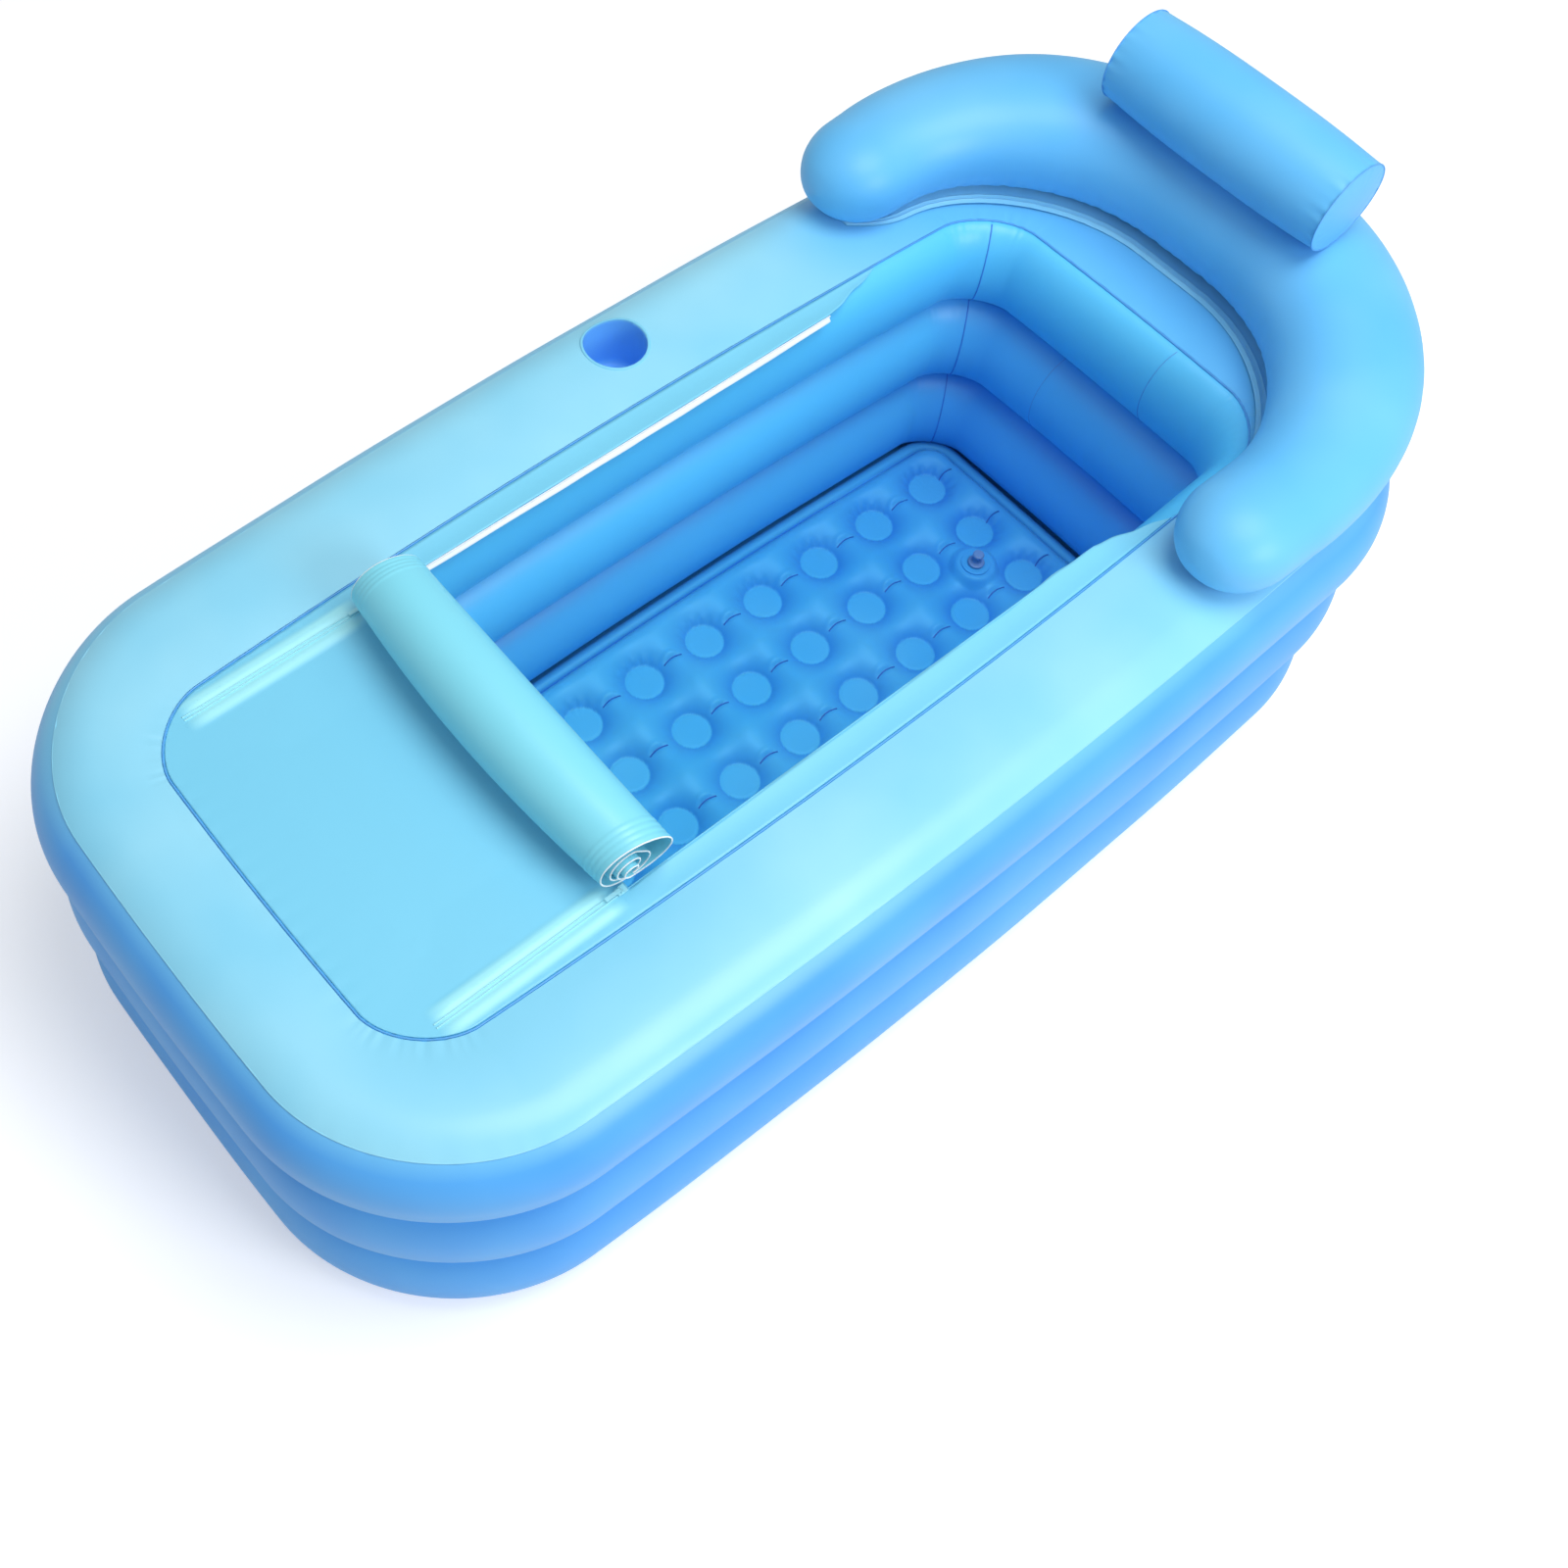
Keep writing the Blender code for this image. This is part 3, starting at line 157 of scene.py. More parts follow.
class TubRest(bpy.types.PropertyGroup):
    """Sizes of the horseshoe backrest and its pillow."""
    tip_x: length_setting("Tips", "How far from the middle of the tub the arms begin", 0.357)
    inset: length_setting("Arm inset", "Middle line of the arms from the outside", 0.072)
    head_inset: length_setting("Head inset", "Middle line of the head from the outside", 0.038)
    side: length_setting("Side", "How far the backrest lies to the far side", 0.010)
    arm_in: length_setting("Arms in", "How far the tips of the arms draw in", 0.013)
    arm_skew: length_setting("Arm skew", "How much further the near arm reaches", 0.027)
    bend_share: FloatProperty(name="Bend share", description="Bend radius as a share", default=0.85)
    arm_width: length_setting("Arm half width", "Half the width of an arm", 0.068)
    arm_height: length_setting("Arm half height", "Half the height of an arm", 0.055)
    head_width: length_setting("Head half width", "Half the width at the head", 0.090)
    head_height: length_setting("Head half height", "Half the height at the head", 0.073)
    press: length_setting("Press", "How far the underside is pressed flat", 0.008)
    tip_length: length_setting("Tip length", "Length over which a tip rounds off", 0.075)
    pillow_radius: length_setting("Pillow radius", "Radius at the pillow's middle", 0.060)
    pillow_end: length_setting("Pillow end radius", "Radius at the pillow's ends", 0.055)
    pillow_cap: length_setting("Pillow cap", "How far the pillow's ends bulge", 0.006)


class TubColours(bpy.types.PropertyGroup):
    """Colours of the films and fittings."""
    # Each pale colour is reached in slow random patches of tone, and as a painted sheen where the film turns
    # away from the view
    ring: colour_setting("Ring film", "Sky blue of the air rings", "#46A2F7")
    ring_pale: colour_setting("Ring sheen", "Paler blue where the film is stretched", "#5FB9FC")
    rest: colour_setting("Backrest film", "Lighter blue of the backrest and pillow", "#5ABCF9")
    rest_pale: colour_setting("Backrest sheen", "Palest blue of the backrest and pillow", "#7CCDFC")
    # Painted light: this cyan stands in for light shining through the film of the bath side, and is painted
    # weaker at the head end and low down as shade
    bath: colour_setting("Bath film", "Cyan blue of the walls inside the bath", "#5CCEFF")
    deck: colour_setting("Deck film", "Light cyan of the deck", "#84D4F3")
    deck_pale: colour_setting("Deck sheen", "Palest cyan of the deck", "#A6E6FB")
    cover: colour_setting("Cover film", "Cyan of the cover", "#79D0F0")
    # Partly painted highlight: the welded tape's pale cyan also stands in for light on the ridges beside the
    # closed zips
    zip_tape_and_highlight: colour_setting("Zip tape film", "Pale cyan beside the zips", "#A4EFFC")
    roll: colour_setting("Rolled film", "Bright cyan of the roll", "#84DEF3")
    floor: colour_setting("Floor film", "Blue of the quilted floor", "#52CDF9")
    floor_pale: colour_setting("Floor sheen", "Paler blue of the quilted floor", "#6EDCFB")
    # Painted shade: this deep blue is painted mostly beside the welded dots, in the creases and groove, at
    # the rim and towards the head end
    floor_deep: colour_setting("Floor welds", "Deep blue where the two films of the floor meet", "#1B66DC")
    crease: colour_setting("Floor creases", "Darkest blue, in the creases of the floor", "#146CC6")
    cup: colour_setting("Cup film", "Deep blue of the cup holder", "#68B8FC")
    seam: colour_setting("Seam", "Darker blue of the welds", "#5FAEF2")
    seam_dark: colour_setting("Dark seam", "Darkest blue of the welds", "#4794E8")
    zip: colour_setting("Zip", "White of the zips", "#F4FBFD")
    coil: colour_setting("Closed zip", "Cyan white of the closed coils", "#A8ECFA")
    drain: colour_setting("Drain", "Grey-blue of the drain plug", "#6C98CC")
    valve: colour_setting("Valve", "Clear bluish plastic of the valves", "#C4E4F8")


# Materials

def add_node(tree, kind, settings=None, values=None, links=None):
    """Add a node with its settings, its input values and the sockets that feed it."""
    node = tree.nodes.new(kind)
    for name, value in (settings or {}).items():
        setattr(node, name, value)
    for name, value in (values or {}).items():
        node.inputs[name].default_value = value
    for name, source in (links or {}).items():
        tree.links.new(source, node.inputs[name])
    return node


def new_material(name):
    made = bpy.data.materials.new(name)
    made.use_nodes = True
    return made, made.node_tree, made.node_tree.nodes["Principled BSDF"]


def film(name, deep, pale, roughness, coat, grain_mm, grain_height, layers=(), specular=0.5):
    """Calendered soft PVC film: a slow change of tone, a painted sheen where it turns away from the view, a
    fine grain and a thin clear gloss.
    """
    made, tree, shader = new_material(name)
    place = add_node(tree, "ShaderNodeTexCoord")
    # The tone drifts over a hand's breadth, as the film is stretched by the air in it
    cloud = add_node(
        tree, "ShaderNodeTexNoise", values={"Scale": 1 / 0.16, "Detail": 2.0, "Roughness": 0.45},
        links={"Vector": place.outputs["Object"]},
    )
    # Painted sheen: the film is painted towards its pale colour where it turns away from the view
    edge = add_node(tree, "ShaderNodeLayerWeight", values={"Blend": 0.30})
    painted_sheen = add_node(
        tree, "ShaderNodeMath", {"operation": "MULTIPLY"}, {1: 0.55}, {0: edge.outputs["Facing"]}
    )
    drift = add_node(
        tree, "ShaderNodeMapRange", values={"From Min": 0.35, "From Max": 0.70, "To Max": 0.45},
        links={"Value": cloud.outputs["Fac"]},
    )
    share = add_node(
        tree, "ShaderNodeMath", {"operation": "ADD", "use_clamp": True}, None,
        {0: painted_sheen.outputs[0], 1: drift.outputs["Result"]},
    )
    tone = add_node(
        tree, "ShaderNodeMix", {"data_type": "RGBA"}, {6: (*deep, 1), 7: (*pale, 1)},
        {0: share.outputs[0]},
    )
    colour = tone.outputs[2]
    for layer, other in layers:
        mask = add_node(tree, "ShaderNodeAttribute", {"attribute_name": layer})
        patched = add_node(
            tree, "ShaderNodeMix", {"data_type": "RGBA"}, {7: (*other, 1)},
            {0: mask.outputs["Fac"], 6: colour},
        )
        colour = patched.outputs[2]
    # The grain of the calender rolls, drawn about three times as coarse as it is
    grain = add_node(
        tree, "ShaderNodeTexNoise", values={"Scale": 1000 / grain_mm, "Detail": 3.0},
        links={"Vector": place.outputs["Object"]},
    )
    ripple = add_node(
        tree, "ShaderNodeTexNoise", values={"Scale": 1 / 0.045, "Detail": 1.0},
        links={"Vector": place.outputs["Object"]},
    )
    heights = add_node(
        tree, "ShaderNodeMath", {"operation": "MULTIPLY_ADD"}, {1: 6.0},
        {0: ripple.outputs["Fac"], 2: grain.outputs["Fac"]},
    )
    bump = add_node(
        tree, "ShaderNodeBump", values={"Strength": 0.6, "Distance": grain_height},
        links={"Height": heights.outputs[0]},
    )
    gloss = add_node(
        tree, "ShaderNodeMapRange",
        values={"To Min": roughness - 0.04, "To Max": roughness + 0.06},
        links={"Value": grain.outputs["Fac"]},
    )
    tree.links.new(colour, shader.inputs["Base Color"])
    tree.links.new(bump.outputs["Normal"], shader.inputs["Normal"])
    tree.links.new(gloss.outputs["Result"], shader.inputs["Roughness"])
    shader.inputs["IOR"].default_value = 1.53
    shader.inputs["Specular IOR Level"].default_value = specular
    shader.inputs["Coat Weight"].default_value = coat
    shader.inputs["Coat Roughness"].default_value = 0.22
    return made


def moulding(name, colour, roughness, speck_mm, mottled=0.12):
    """Injection-moulded plastic: faint flow marks and a fine moulded skin."""
    made, tree, shader = new_material(name)
    place = add_node(tree, "ShaderNodeTexCoord")
    flow = add_node(
        tree, "ShaderNodeTexNoise", values={"Scale": 1000 / speck_mm / 8, "Detail": 2.0},
        links={"Vector": place.outputs["Object"]},
    )
    darker = tuple(c * (1 - mottled) for c in colour)
    tone = add_node(
        tree, "ShaderNodeMix", {"data_type": "RGBA"}, {6: (*colour, 1), 7: (*darker, 1)},
        {0: flow.outputs["Fac"]},
    )
    skin = add_node(
        tree, "ShaderNodeTexNoise", values={"Scale": 1000 / speck_mm, "Detail": 2.0},
        links={"Vector": place.outputs["Object"]},
    )
    bump = add_node(
        tree, "ShaderNodeBump", values={"Strength": 0.3, "Distance": 0.0001},
        links={"Height": skin.outputs["Fac"]},
    )
    tree.links.new(tone.outputs[2], shader.inputs["Base Color"])
    tree.links.new(bump.outputs["Normal"], shader.inputs["Normal"])
    shader.inputs["Roughness"].default_value = roughness
    shader.inputs["IOR"].default_value = 1.49
    return made


FINISHES = {}


def finishes():
    """Every material of the tub, made once."""
    if FINISHES:
        return FINISHES
    c = bpy.context.scene.tub_colours
    # Sky blue film of the air chambers: tight, satin, with a painted sheen on its shoulders where they turn
    # away from the view, and painted light in the cyan of its bath side
    FINISHES["ring"] = film(
        "satin PVC film, sky blue", c.ring, c.ring_pale, 0.42, 0.06, 0.9, 0.00004,
        [("bath", c.bath), ("deck", c.deck)]
    )
    # The same film on the backrest and pillow, blown up tighter and so a little paler
    FINISHES["rest"] = film("satin PVC film, pale sky blue", c.rest, c.rest_pale, 0.48, 0.05, 0.9, 0.00004)
    # Cyan film of the deck: a little paler and smoother, and painted bluer at the head end as the shade of
    # the backrest
    FINISHES["deck"] = film(
        "satin PVC film, light cyan", c.deck, c.deck_pale, 0.36, 0.18, 0.9, 0.00004, [("head", c.rest)]
    )
    # The cover is a thinner sheet with pale welded tape beside its zips, the pale partly a painted highlight
    # on the ridges there
    FINISHES["cover"] = film(
        "soft PVC sheet, cyan", c.cover, c.cover, 0.46, 0.06, 1.2, 0.00006, [("tape", c.zip_tape_and_highlight)]
    )
    # Inside face of the rolled sheet, brighter than its outside
    FINISHES["roll"] = film("soft PVC sheet, rolled", c.roll, c.roll, 0.42, 0.10, 1.2, 0.00006)
    # Thicker film of the quilted floor, matter than the rings, with deep blue painted as shade round its
    # dots, along its creases, at its rim and towards the head end
    FINISHES["floor"] = film(
        "satin PVC film, floor", c.floor, c.floor_pale, 0.42, 0.0, 0.9, 0.00005, [("weld", c.floor_deep)], 0.6
    )
    # The light on its humps comes by way of the cyan walls
    FINISHES["floor"].node_tree.nodes["Principled BSDF"].inputs["Specular Tint"].default_value = (
        *linear("#8CDCFF"), 1
    )
    # Deep blue vacuum-formed cup
    FINISHES["cup"] = film(
        "vacuum-formed PVC, deep blue", c.cup, c.cup, 0.45, 0.0, 0.9, 0.00003, [("rim", c.deck)], 0.2
    )
    # High-frequency weld: the film is pressed thin and looks darker
    FINISHES["seam"] = moulding("welded PVC seam", c.seam, 0.42, 0.8)
    # Film folded on itself between two dots, where hardly any light gets in
    FINISHES["crease"] = moulding("folded PVC film, dark crease", c.crease, 0.5, 0.8)
    FINISHES["seam_dark"] = moulding("welded PVC seam, shaded", c.seam_dark, 0.45, 0.8)
    # Nylon coil and its woven tape
    FINISHES["zip"] = moulding("nylon zip coil, white", c.zip, 0.48, 0.5, 0.05)
    FINISHES["coil"] = moulding("nylon zip coil, tinted by its tape", c.coil, 0.48, 0.5, 0.05)
    FINISHES["drain"] = moulding("moulded polyethylene, grey blue", c.drain, 0.40, 0.6)
    FINISHES["valve"] = moulding("clear soft PVC moulding", c.valve, 0.20, 0.6)
    FINISHES["valve"].node_tree.nodes["Principled BSDF"].inputs["Transmission Weight"].default_value = 0.35
    return FINISHES


# Meshes

def grid_faces(rows, cols, wrap_rows, wrap_cols):
    index = np.arange(rows * cols).reshape(rows, cols)
    if wrap_rows:
        index = np.vstack([index, index[:1]])
    if wrap_cols:
        index = np.hstack([index, index[:, :1]])
    quads = [index[:-1, :-1], index[1:, :-1], index[1:, 1:], index[:-1, 1:]]
    return np.stack(quads, axis=-1).reshape(-1, 4).tolist()


def grid_mesh(name, points, wrap_rows=False, wrap_cols=False, caps=False):
    """A mesh through a grid of points, wrapped or capped, with its faces turned outwards."""
    rows, cols = points.shape[:2]
    faces = grid_faces(rows, cols, wrap_rows, wrap_cols)
    if caps:
        faces.append(list(range(cols)))
        faces.append([(rows - 1) * cols + k for k in range(cols)])
    return outward_mesh(name, points.reshape(-1, 3).tolist(), faces)


def outward_mesh(name, points, faces):
    mesh = bpy.data.meshes.new(name)
    mesh.from_pydata(points, [], faces)
    return mended(mesh)


def mended(mesh, merge=None, close=False, upwards=False):
    """Merge close vertices and close holes where asked, and turn the faces outwards or up."""
    work = bmesh.new()
    work.from_mesh(mesh)
    if merge:
        bmesh.ops.remove_doubles(work, verts=work.verts, dist=merge)
    if close:
        bmesh.ops.holes_fill(work, edges=[e for e in work.edges if e.is_boundary])
    bmesh.ops.recalc_face_normals(work, faces=work.faces)
    if upwards and sum(face.normal.z for face in work.faces) < 0:
        bmesh.ops.reverse_faces(work, faces=work.faces)
    work.to_mesh(mesh)
    work.free()
    return mesh


def linked(name, data):
    """A new object of the scene that holds this data."""
    item = bpy.data.objects.new(name, data)
    bpy.context.scene.collection.objects.link(item)
    return item


def grid_normals(points, wrap_rows, wrap_cols):
    """Unit normals of a grid of points."""
    def slope(axis, wrap):
        if wrap:
            return np.roll(points, -1, axis) - np.roll(points, 1, axis)
        return np.gradient(points, axis=axis)
    normal = np.cross(slope(0, wrap_rows), slope(1, wrap_cols))
    return normal / np.maximum(np.linalg.norm(normal, axis=2, keepdims=True), 1e-12)


def finish_piece(name, mesh, finish, stands_for=(), body="tub", sharp_deg=50.0):
    """Link a mesh as a piece: its material, shading, body and the nodes it stands for."""
    item = linked(name, mesh)
    mesh.materials.clear()
    mesh.materials.append(finishes()[finish])
    mesh.shade_smooth()
    mesh.set_sharp_from_angle(angle=math.radians(sharp_deg))
    if stands_for:
        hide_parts(*stands_for)
    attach(item, body)
    return item


def paint(mesh, layer, shares):
    """Keep a share for each vertex of a mesh, for its material to read."""
    made = mesh.attributes.new(layer, "FLOAT", "POINT")
    made.data.foreach_set("value", np.asarray(shares, np.float32).ravel())


def turned_mesh(name, profile, sides, place):
    """A smooth turned solid from (radius, height) points, about local Z, then placed."""
    profile = np.array(profile, float)
    angles = np.linspace(0, math.tau, sides, endpoint=False)
    points = np.empty((len(profile), sides, 3))
    points[:, :, 0] = profile[:, :1] * np.cos(angles)
    points[:, :, 1] = profile[:, :1] * np.sin(angles)
    points[:, :, 2] = profile[:, 1:]
    matrix = np.array(place)
    points = points @ matrix[:3, :3].T + matrix[:3, 3]
    closed = profile[0, 0] > 1e-5 and profile[-1, 0] > 1e-5
    mesh = grid_mesh(name, points, wrap_rows=closed, wrap_cols=True)
    return mesh if closed else mended(mesh, merge=1e-6)


def rounded(profile, radius, steps=4):
    """The profile with each inner corner rounded."""
    made = [profile[0]]
    for before, here, after in zip(profile, profile[1:], profile[2:]):
        here, before, after = Vector(here), Vector(before), Vector(after)
        into, out = before - here, after - here
        reach = min(radius, into.length * 0.45, out.length * 0.45)
        start, end = here + into.normalized() * reach, here + out.normalized() * reach
        for k in range(steps + 1):
            t = k / steps
            made.append(tuple(start * (1 - t) ** 2 + here * 2 * t * (1 - t) + end * t ** 2))
    return made + [profile[-1]]


def cut(item, cutter):
    """Cut one object out of another and drop the cutter."""
    step = item.modifiers.new("cut", "BOOLEAN")
    step.operation = "DIFFERENCE"
    step.solver = "EXACT"
    step.object = cutter
    plain = evaluated_mesh(item)
    item.modifiers.clear()
    item.data = plain
    bpy.data.objects.remove(cutter)


def evaluated_mesh(item):
    depsgraph = bpy.context.evaluated_depsgraph_get()
    depsgraph.update()
    return bpy.data.meshes.new_from_object(item.evaluated_get(depsgraph))


# Geometry Nodes

def new_tree(name, inputs):
    """A node tree that takes and gives geometry, with its named inputs."""
    tree = bpy.data.node_groups.new(name, "GeometryNodeTree")
    tree.interface.new_socket("Geometry", in_out="INPUT", socket_type="NodeSocketGeometry")
    for label, kind, default in inputs:
        socket = tree.interface.new_socket(label, in_out="INPUT", socket_type=kind)
        if default is not None:
            socket.default_value = default
    tree.interface.new_socket("Geometry", in_out="OUTPUT", socket_type="NodeSocketGeometry")
    return tree


def ended_tree(tree, start, geometry):
    """Realize what a tree made, give it the finish that came in, and hand it out."""
    real = add_node(tree, "GeometryNodeRealizeInstances", None, None, {"Geometry": geometry})
    painted = add_node(
        tree, "GeometryNodeSetMaterial", None, None,
        {"Geometry": real.outputs["Geometry"], "Material": start.outputs["Finish"]},
    )
    add_node(tree, "NodeGroupOutput", None, None, {"Geometry": painted.outputs["Geometry"]})
    return tree


def tree_mesh(tree, source, values):
    """The plain mesh that a tree makes of an object, which is then dropped."""
    step = source.modifiers.new(tree.name, "NODES")
    step.node_group = tree
    names = {s.name: s.identifier for s in tree.interface.items_tree if s.in_out == "INPUT"}
    for label, value in values.items():
        step[names[label]] = value
    source.update_tag()
    mesh = evaluated_mesh(source)
    source.modifiers.clear()
    bpy.data.objects.remove(source)
    return mesh


def path_object(name, lines, closed=False, radii=None):
    """A poly curve through one list of points or several, with its radius at each point."""
    data = bpy.data.curves.new(name, "CURVE")
    data.dimensions = "3D"
    for points in lines if isinstance(lines, list) else [lines]:
        spline = data.splines.new("POLY")
        spline.points.add(len(points) - 1)
        spline.points.foreach_set("co", np.c_[points, np.ones(len(points))].ravel())
        if radii is not None:
            spline.points.foreach_set("radius", radii)
        spline.use_cyclic_u = closed
    return linked(name, data)


def seam_tree():
    """A raised weld line: a round bead swept along a path, thinner at its ends if asked."""
    found = bpy.data.node_groups.get("weld line")
    if found:
        return found
    tree = new_tree("weld line", [
        ("Half width", "NodeSocketFloat", 0.0015),
        ("Sides", "NodeSocketInt", 10),
        ("Finish", "NodeSocketMaterial", None),
    ])
    start = add_node(tree, "NodeGroupInput")
    profile = add_node(
        tree, "GeometryNodeCurvePrimitiveCircle", None, None,
        {"Resolution": start.outputs["Sides"], "Radius": start.outputs["Half width"]},
    )
    bead = add_node(
        tree, "GeometryNodeCurveToMesh", None, {"Fill Caps": True},
        {"Curve": start.outputs["Geometry"], "Profile Curve": profile.outputs["Curve"]},
    )
    return ended_tree(tree, start, bead.outputs["Mesh"])


def seam_line(name, points, half_width, closed, finish, stands_for=()):
    """A piece made by the weld line tree."""
    mesh = tree_mesh(
        seam_tree(), path_object(name + "_path", points, closed),
        {"Half width": half_width, "Finish": finishes()[finish]},
    )
    return finish_piece(name, mesh, finish, stands_for)


def coil_tree():
    """Half a zip: rounded teeth set along a path on a narrow tape."""
    found = bpy.data.node_groups.get("zip coil")
    if found:
        return found
    tree = new_tree("zip coil", [
        ("Pitch", "NodeSocketFloat", 0.0024),
        ("Tooth", "NodeSocketVector", (0.0009, 0.00125, 0.0012)),
        ("Tape", "NodeSocketFloat", 0.0008),
        ("Finish", "NodeSocketMaterial", None),
    ])
    start = add_node(tree, "NodeGroupInput")
    spots = add_node(
        tree, "GeometryNodeResampleCurve", {"mode": "LENGTH"}, None,
        {"Curve": start.outputs["Geometry"], "Length": start.outputs["Pitch"]},
    )
    tooth = add_node(tree, "GeometryNodeMeshUVSphere", None, {"Segments": 6, "Rings": 4, "Radius": 1.0})
    along = add_node(tree, "GeometryNodeInputTangent")
    turn = add_node(
        tree, "FunctionNodeAlignRotationToVector", {"axis": "X"}, None, {"Vector": along.outputs["Tangent"]}
    )
    teeth = add_node(
        tree, "GeometryNodeInstanceOnPoints", None, None,
        {
            "Points": spots.outputs["Curve"], "Instance": tooth.outputs["Mesh"],
            "Rotation": turn.outputs["Rotation"], "Scale": start.outputs["Tooth"],
        },
    )
    cord = add_node(
        tree, "GeometryNodeCurvePrimitiveCircle", None, {"Resolution": 6},
        {"Radius": start.outputs["Tape"]},
    )
    tape = add_node(
        tree, "GeometryNodeCurveToMesh", None, {"Fill Caps": True},
        {"Curve": start.outputs["Geometry"], "Profile Curve": cord.outputs["Curve"]},
    )
    both = add_node(tree, "GeometryNodeJoinGeometry")
    tree.links.new(teeth.outputs["Instances"], both.inputs["Geometry"])
    tree.links.new(tape.outputs["Mesh"], both.inputs["Geometry"])
    return ended_tree(tree, start, both.outputs["Geometry"])


def pillow_tree():
    """A round pillow: a grid rolled into a barrel whose ends close in a shallow dome."""
    tree = new_tree("round pillow", [
        ("Length", "NodeSocketFloat", 0.33),
        ("Middle radius", "NodeSocketFloat", 0.060),
        ("End radius", "NodeSocketFloat", 0.055),
        ("Cap bulge", "NodeSocketFloat", 0.006),
        ("Pucker", "NodeSocketFloat", 0.0005),
        ("Finish", "NodeSocketMaterial", None),
    ])
    start = add_node(tree, "NodeGroupInput")

    def maths(operation, *sources):
        values = {k: item for k, item in enumerate(sources) if isinstance(item, (int, float))}
        links = {k: item for k, item in enumerate(sources) if k not in values}
        settings = {"operation": operation, "use_clamp": operation == "DIVIDE"}
        return add_node(tree, "ShaderNodeMath", settings, values, links).outputs[0]

    flat = add_node(
        tree, "GeometryNodeMeshGrid", None,
        {"Size X": 1.0, "Size Y": 2.0, "Vertices X": 129, "Vertices Y": 161},
    )
    spot = add_node(tree, "GeometryNodeInputPosition")
    parts = add_node(tree, "ShaderNodeSeparateXYZ", None, None, {"Vector": spot.outputs["Position"]})
    angle = maths("MULTIPLY", parts.outputs["X"], math.tau)
    share = maths("ABSOLUTE", parts.outputs["Y"])
    # The barrel takes 0.82 of the grid, and each end cap the rest
    along = maths("SINE", maths("MULTIPLY", maths("DIVIDE", share, 0.82), math.pi / 2))
    cap = maths("DIVIDE", maths("SUBTRACT", share, 0.82), 0.18)
    cap = maths("MAXIMUM", cap, 0.0)
    close = maths("SUBTRACT", 1.0, cap)
    extra = maths("SUBTRACT", start.outputs["Middle radius"], start.outputs["End radius"])
    swell = maths("SUBTRACT", 1.0, maths("POWER", along, 2.6))
    barrel = maths("MULTIPLY_ADD", extra, swell, start.outputs["End radius"])
    folds = maths(
        "ADD", maths("SINE", maths("MULTIPLY", angle, 17.0)), maths("SINE", maths("MULTIPLY", angle, 26.0))
    )
    crease = maths("MULTIPLY", maths("POWER", along, 16.0), start.outputs["Pucker"])
    radius = maths("MULTIPLY", maths("MULTIPLY_ADD", folds, crease, barrel), close)
    seam = maths("SUBTRACT", maths("MULTIPLY", start.outputs["Length"], 0.5), start.outputs["Cap bulge"])
    round_off = maths("SUBTRACT", 1.0, maths("MULTIPLY", close, close))
    dome = maths("MULTIPLY", start.outputs["Cap bulge"], round_off)
    out = maths("MULTIPLY", maths("MULTIPLY_ADD", seam, along, dome), maths("SIGN", parts.outputs["Y"]))
    across = maths("MULTIPLY", radius, maths("COSINE", angle))
    up = maths("MULTIPLY", radius, maths("SINE", angle))
    where = add_node(tree, "ShaderNodeCombineXYZ", None, None, {"X": across, "Y": out, "Z": up})
    rolled = add_node(
        tree, "GeometryNodeSetPosition", None, None,
        {"Geometry": flat.outputs["Mesh"], "Position": where.outputs["Vector"]},
    )
    joined = add_node(
        tree, "GeometryNodeMergeByDistance", None, {"Distance": 1e-5},
        {"Geometry": rolled.outputs["Geometry"]},
    )
    return ended_tree(tree, start, joined.outputs["Geometry"])


# The plan of the rings

def plan(step):
    """Points round the outside of the rings with their inward normals, and the running length."""
    s = bpy.context.scene.tub_plan
    half = np.array([s.length / 2 - s.end_bow, s.width / 2 - s.side_bow])
    bow = np.array([s.end_bow, s.side_bow])
    core = half - s.corner_radius
    corners = [core * way for way in ((1, 1), (-1, 1), (-1, -1), (1, -1))]
    spots, tangents = [], []
    for quarter, centre in enumerate(corners):
        steps = round(s.corner_radius * math.pi / 2 / step)
        a = math.pi / 2 * (quarter + np.arange(steps) / steps)
        spots.append(centre + s.corner_radius * np.c_[np.cos(a), np.sin(a)])
        tangents.append(np.c_[-np.sin(a), np.cos(a)])
        turn = math.pi / 2 * (quarter + 1)
        spoke = s.corner_radius * np.array([math.cos(turn), math.sin(turn)])
        run = corners[(quarter + 1) % 4] - centre
        steps = round(float(np.linalg.norm(run)) / step)
        spots.append(centre + spoke + run * (np.arange(steps) / steps)[:, None])
        tangents.append(np.tile([-math.sin(turn), math.cos(turn)], (steps, 1)))
    spots, tangents = np.vstack(spots), np.vstack(tangents)
    share = spots / half
    fall = 1 - share[:, ::-1] ** 2
    slopes = bow * share * -2 * spots[:, ::-1] / half[::-1] ** 2
    turned = tangents * (1 + bow / half * fall) + tangents[:, ::-1] * slopes
    turned /= np.linalg.norm(turned, axis=1, keepdims=True)
    points = spots + bow * share * fall
    lengths = np.r_[0, np.cumsum(np.linalg.norm(np.diff(points, axis=0), axis=1))]
    return points, np.c_[-turned[:, 1], turned[:, 0]], lengths


def placed(points, inward, insets):
    """Spots at insets from the plan; the bath side is moved towards the foot."""
    s = bpy.context.scene.tub_plan
    insets = np.asarray(insets, float)
    press = s.ring_width - s.ring_bulge
    share = np.clip((insets - DECK_CROWN_INSET) / (press - DECK_CROWN_INSET), 0, 1)
    spots = points[:, None, :] + inward[:, None, :] * insets[None, :, None]
    spots[:, :, 0] -= s.bath_shift * share
    return spots


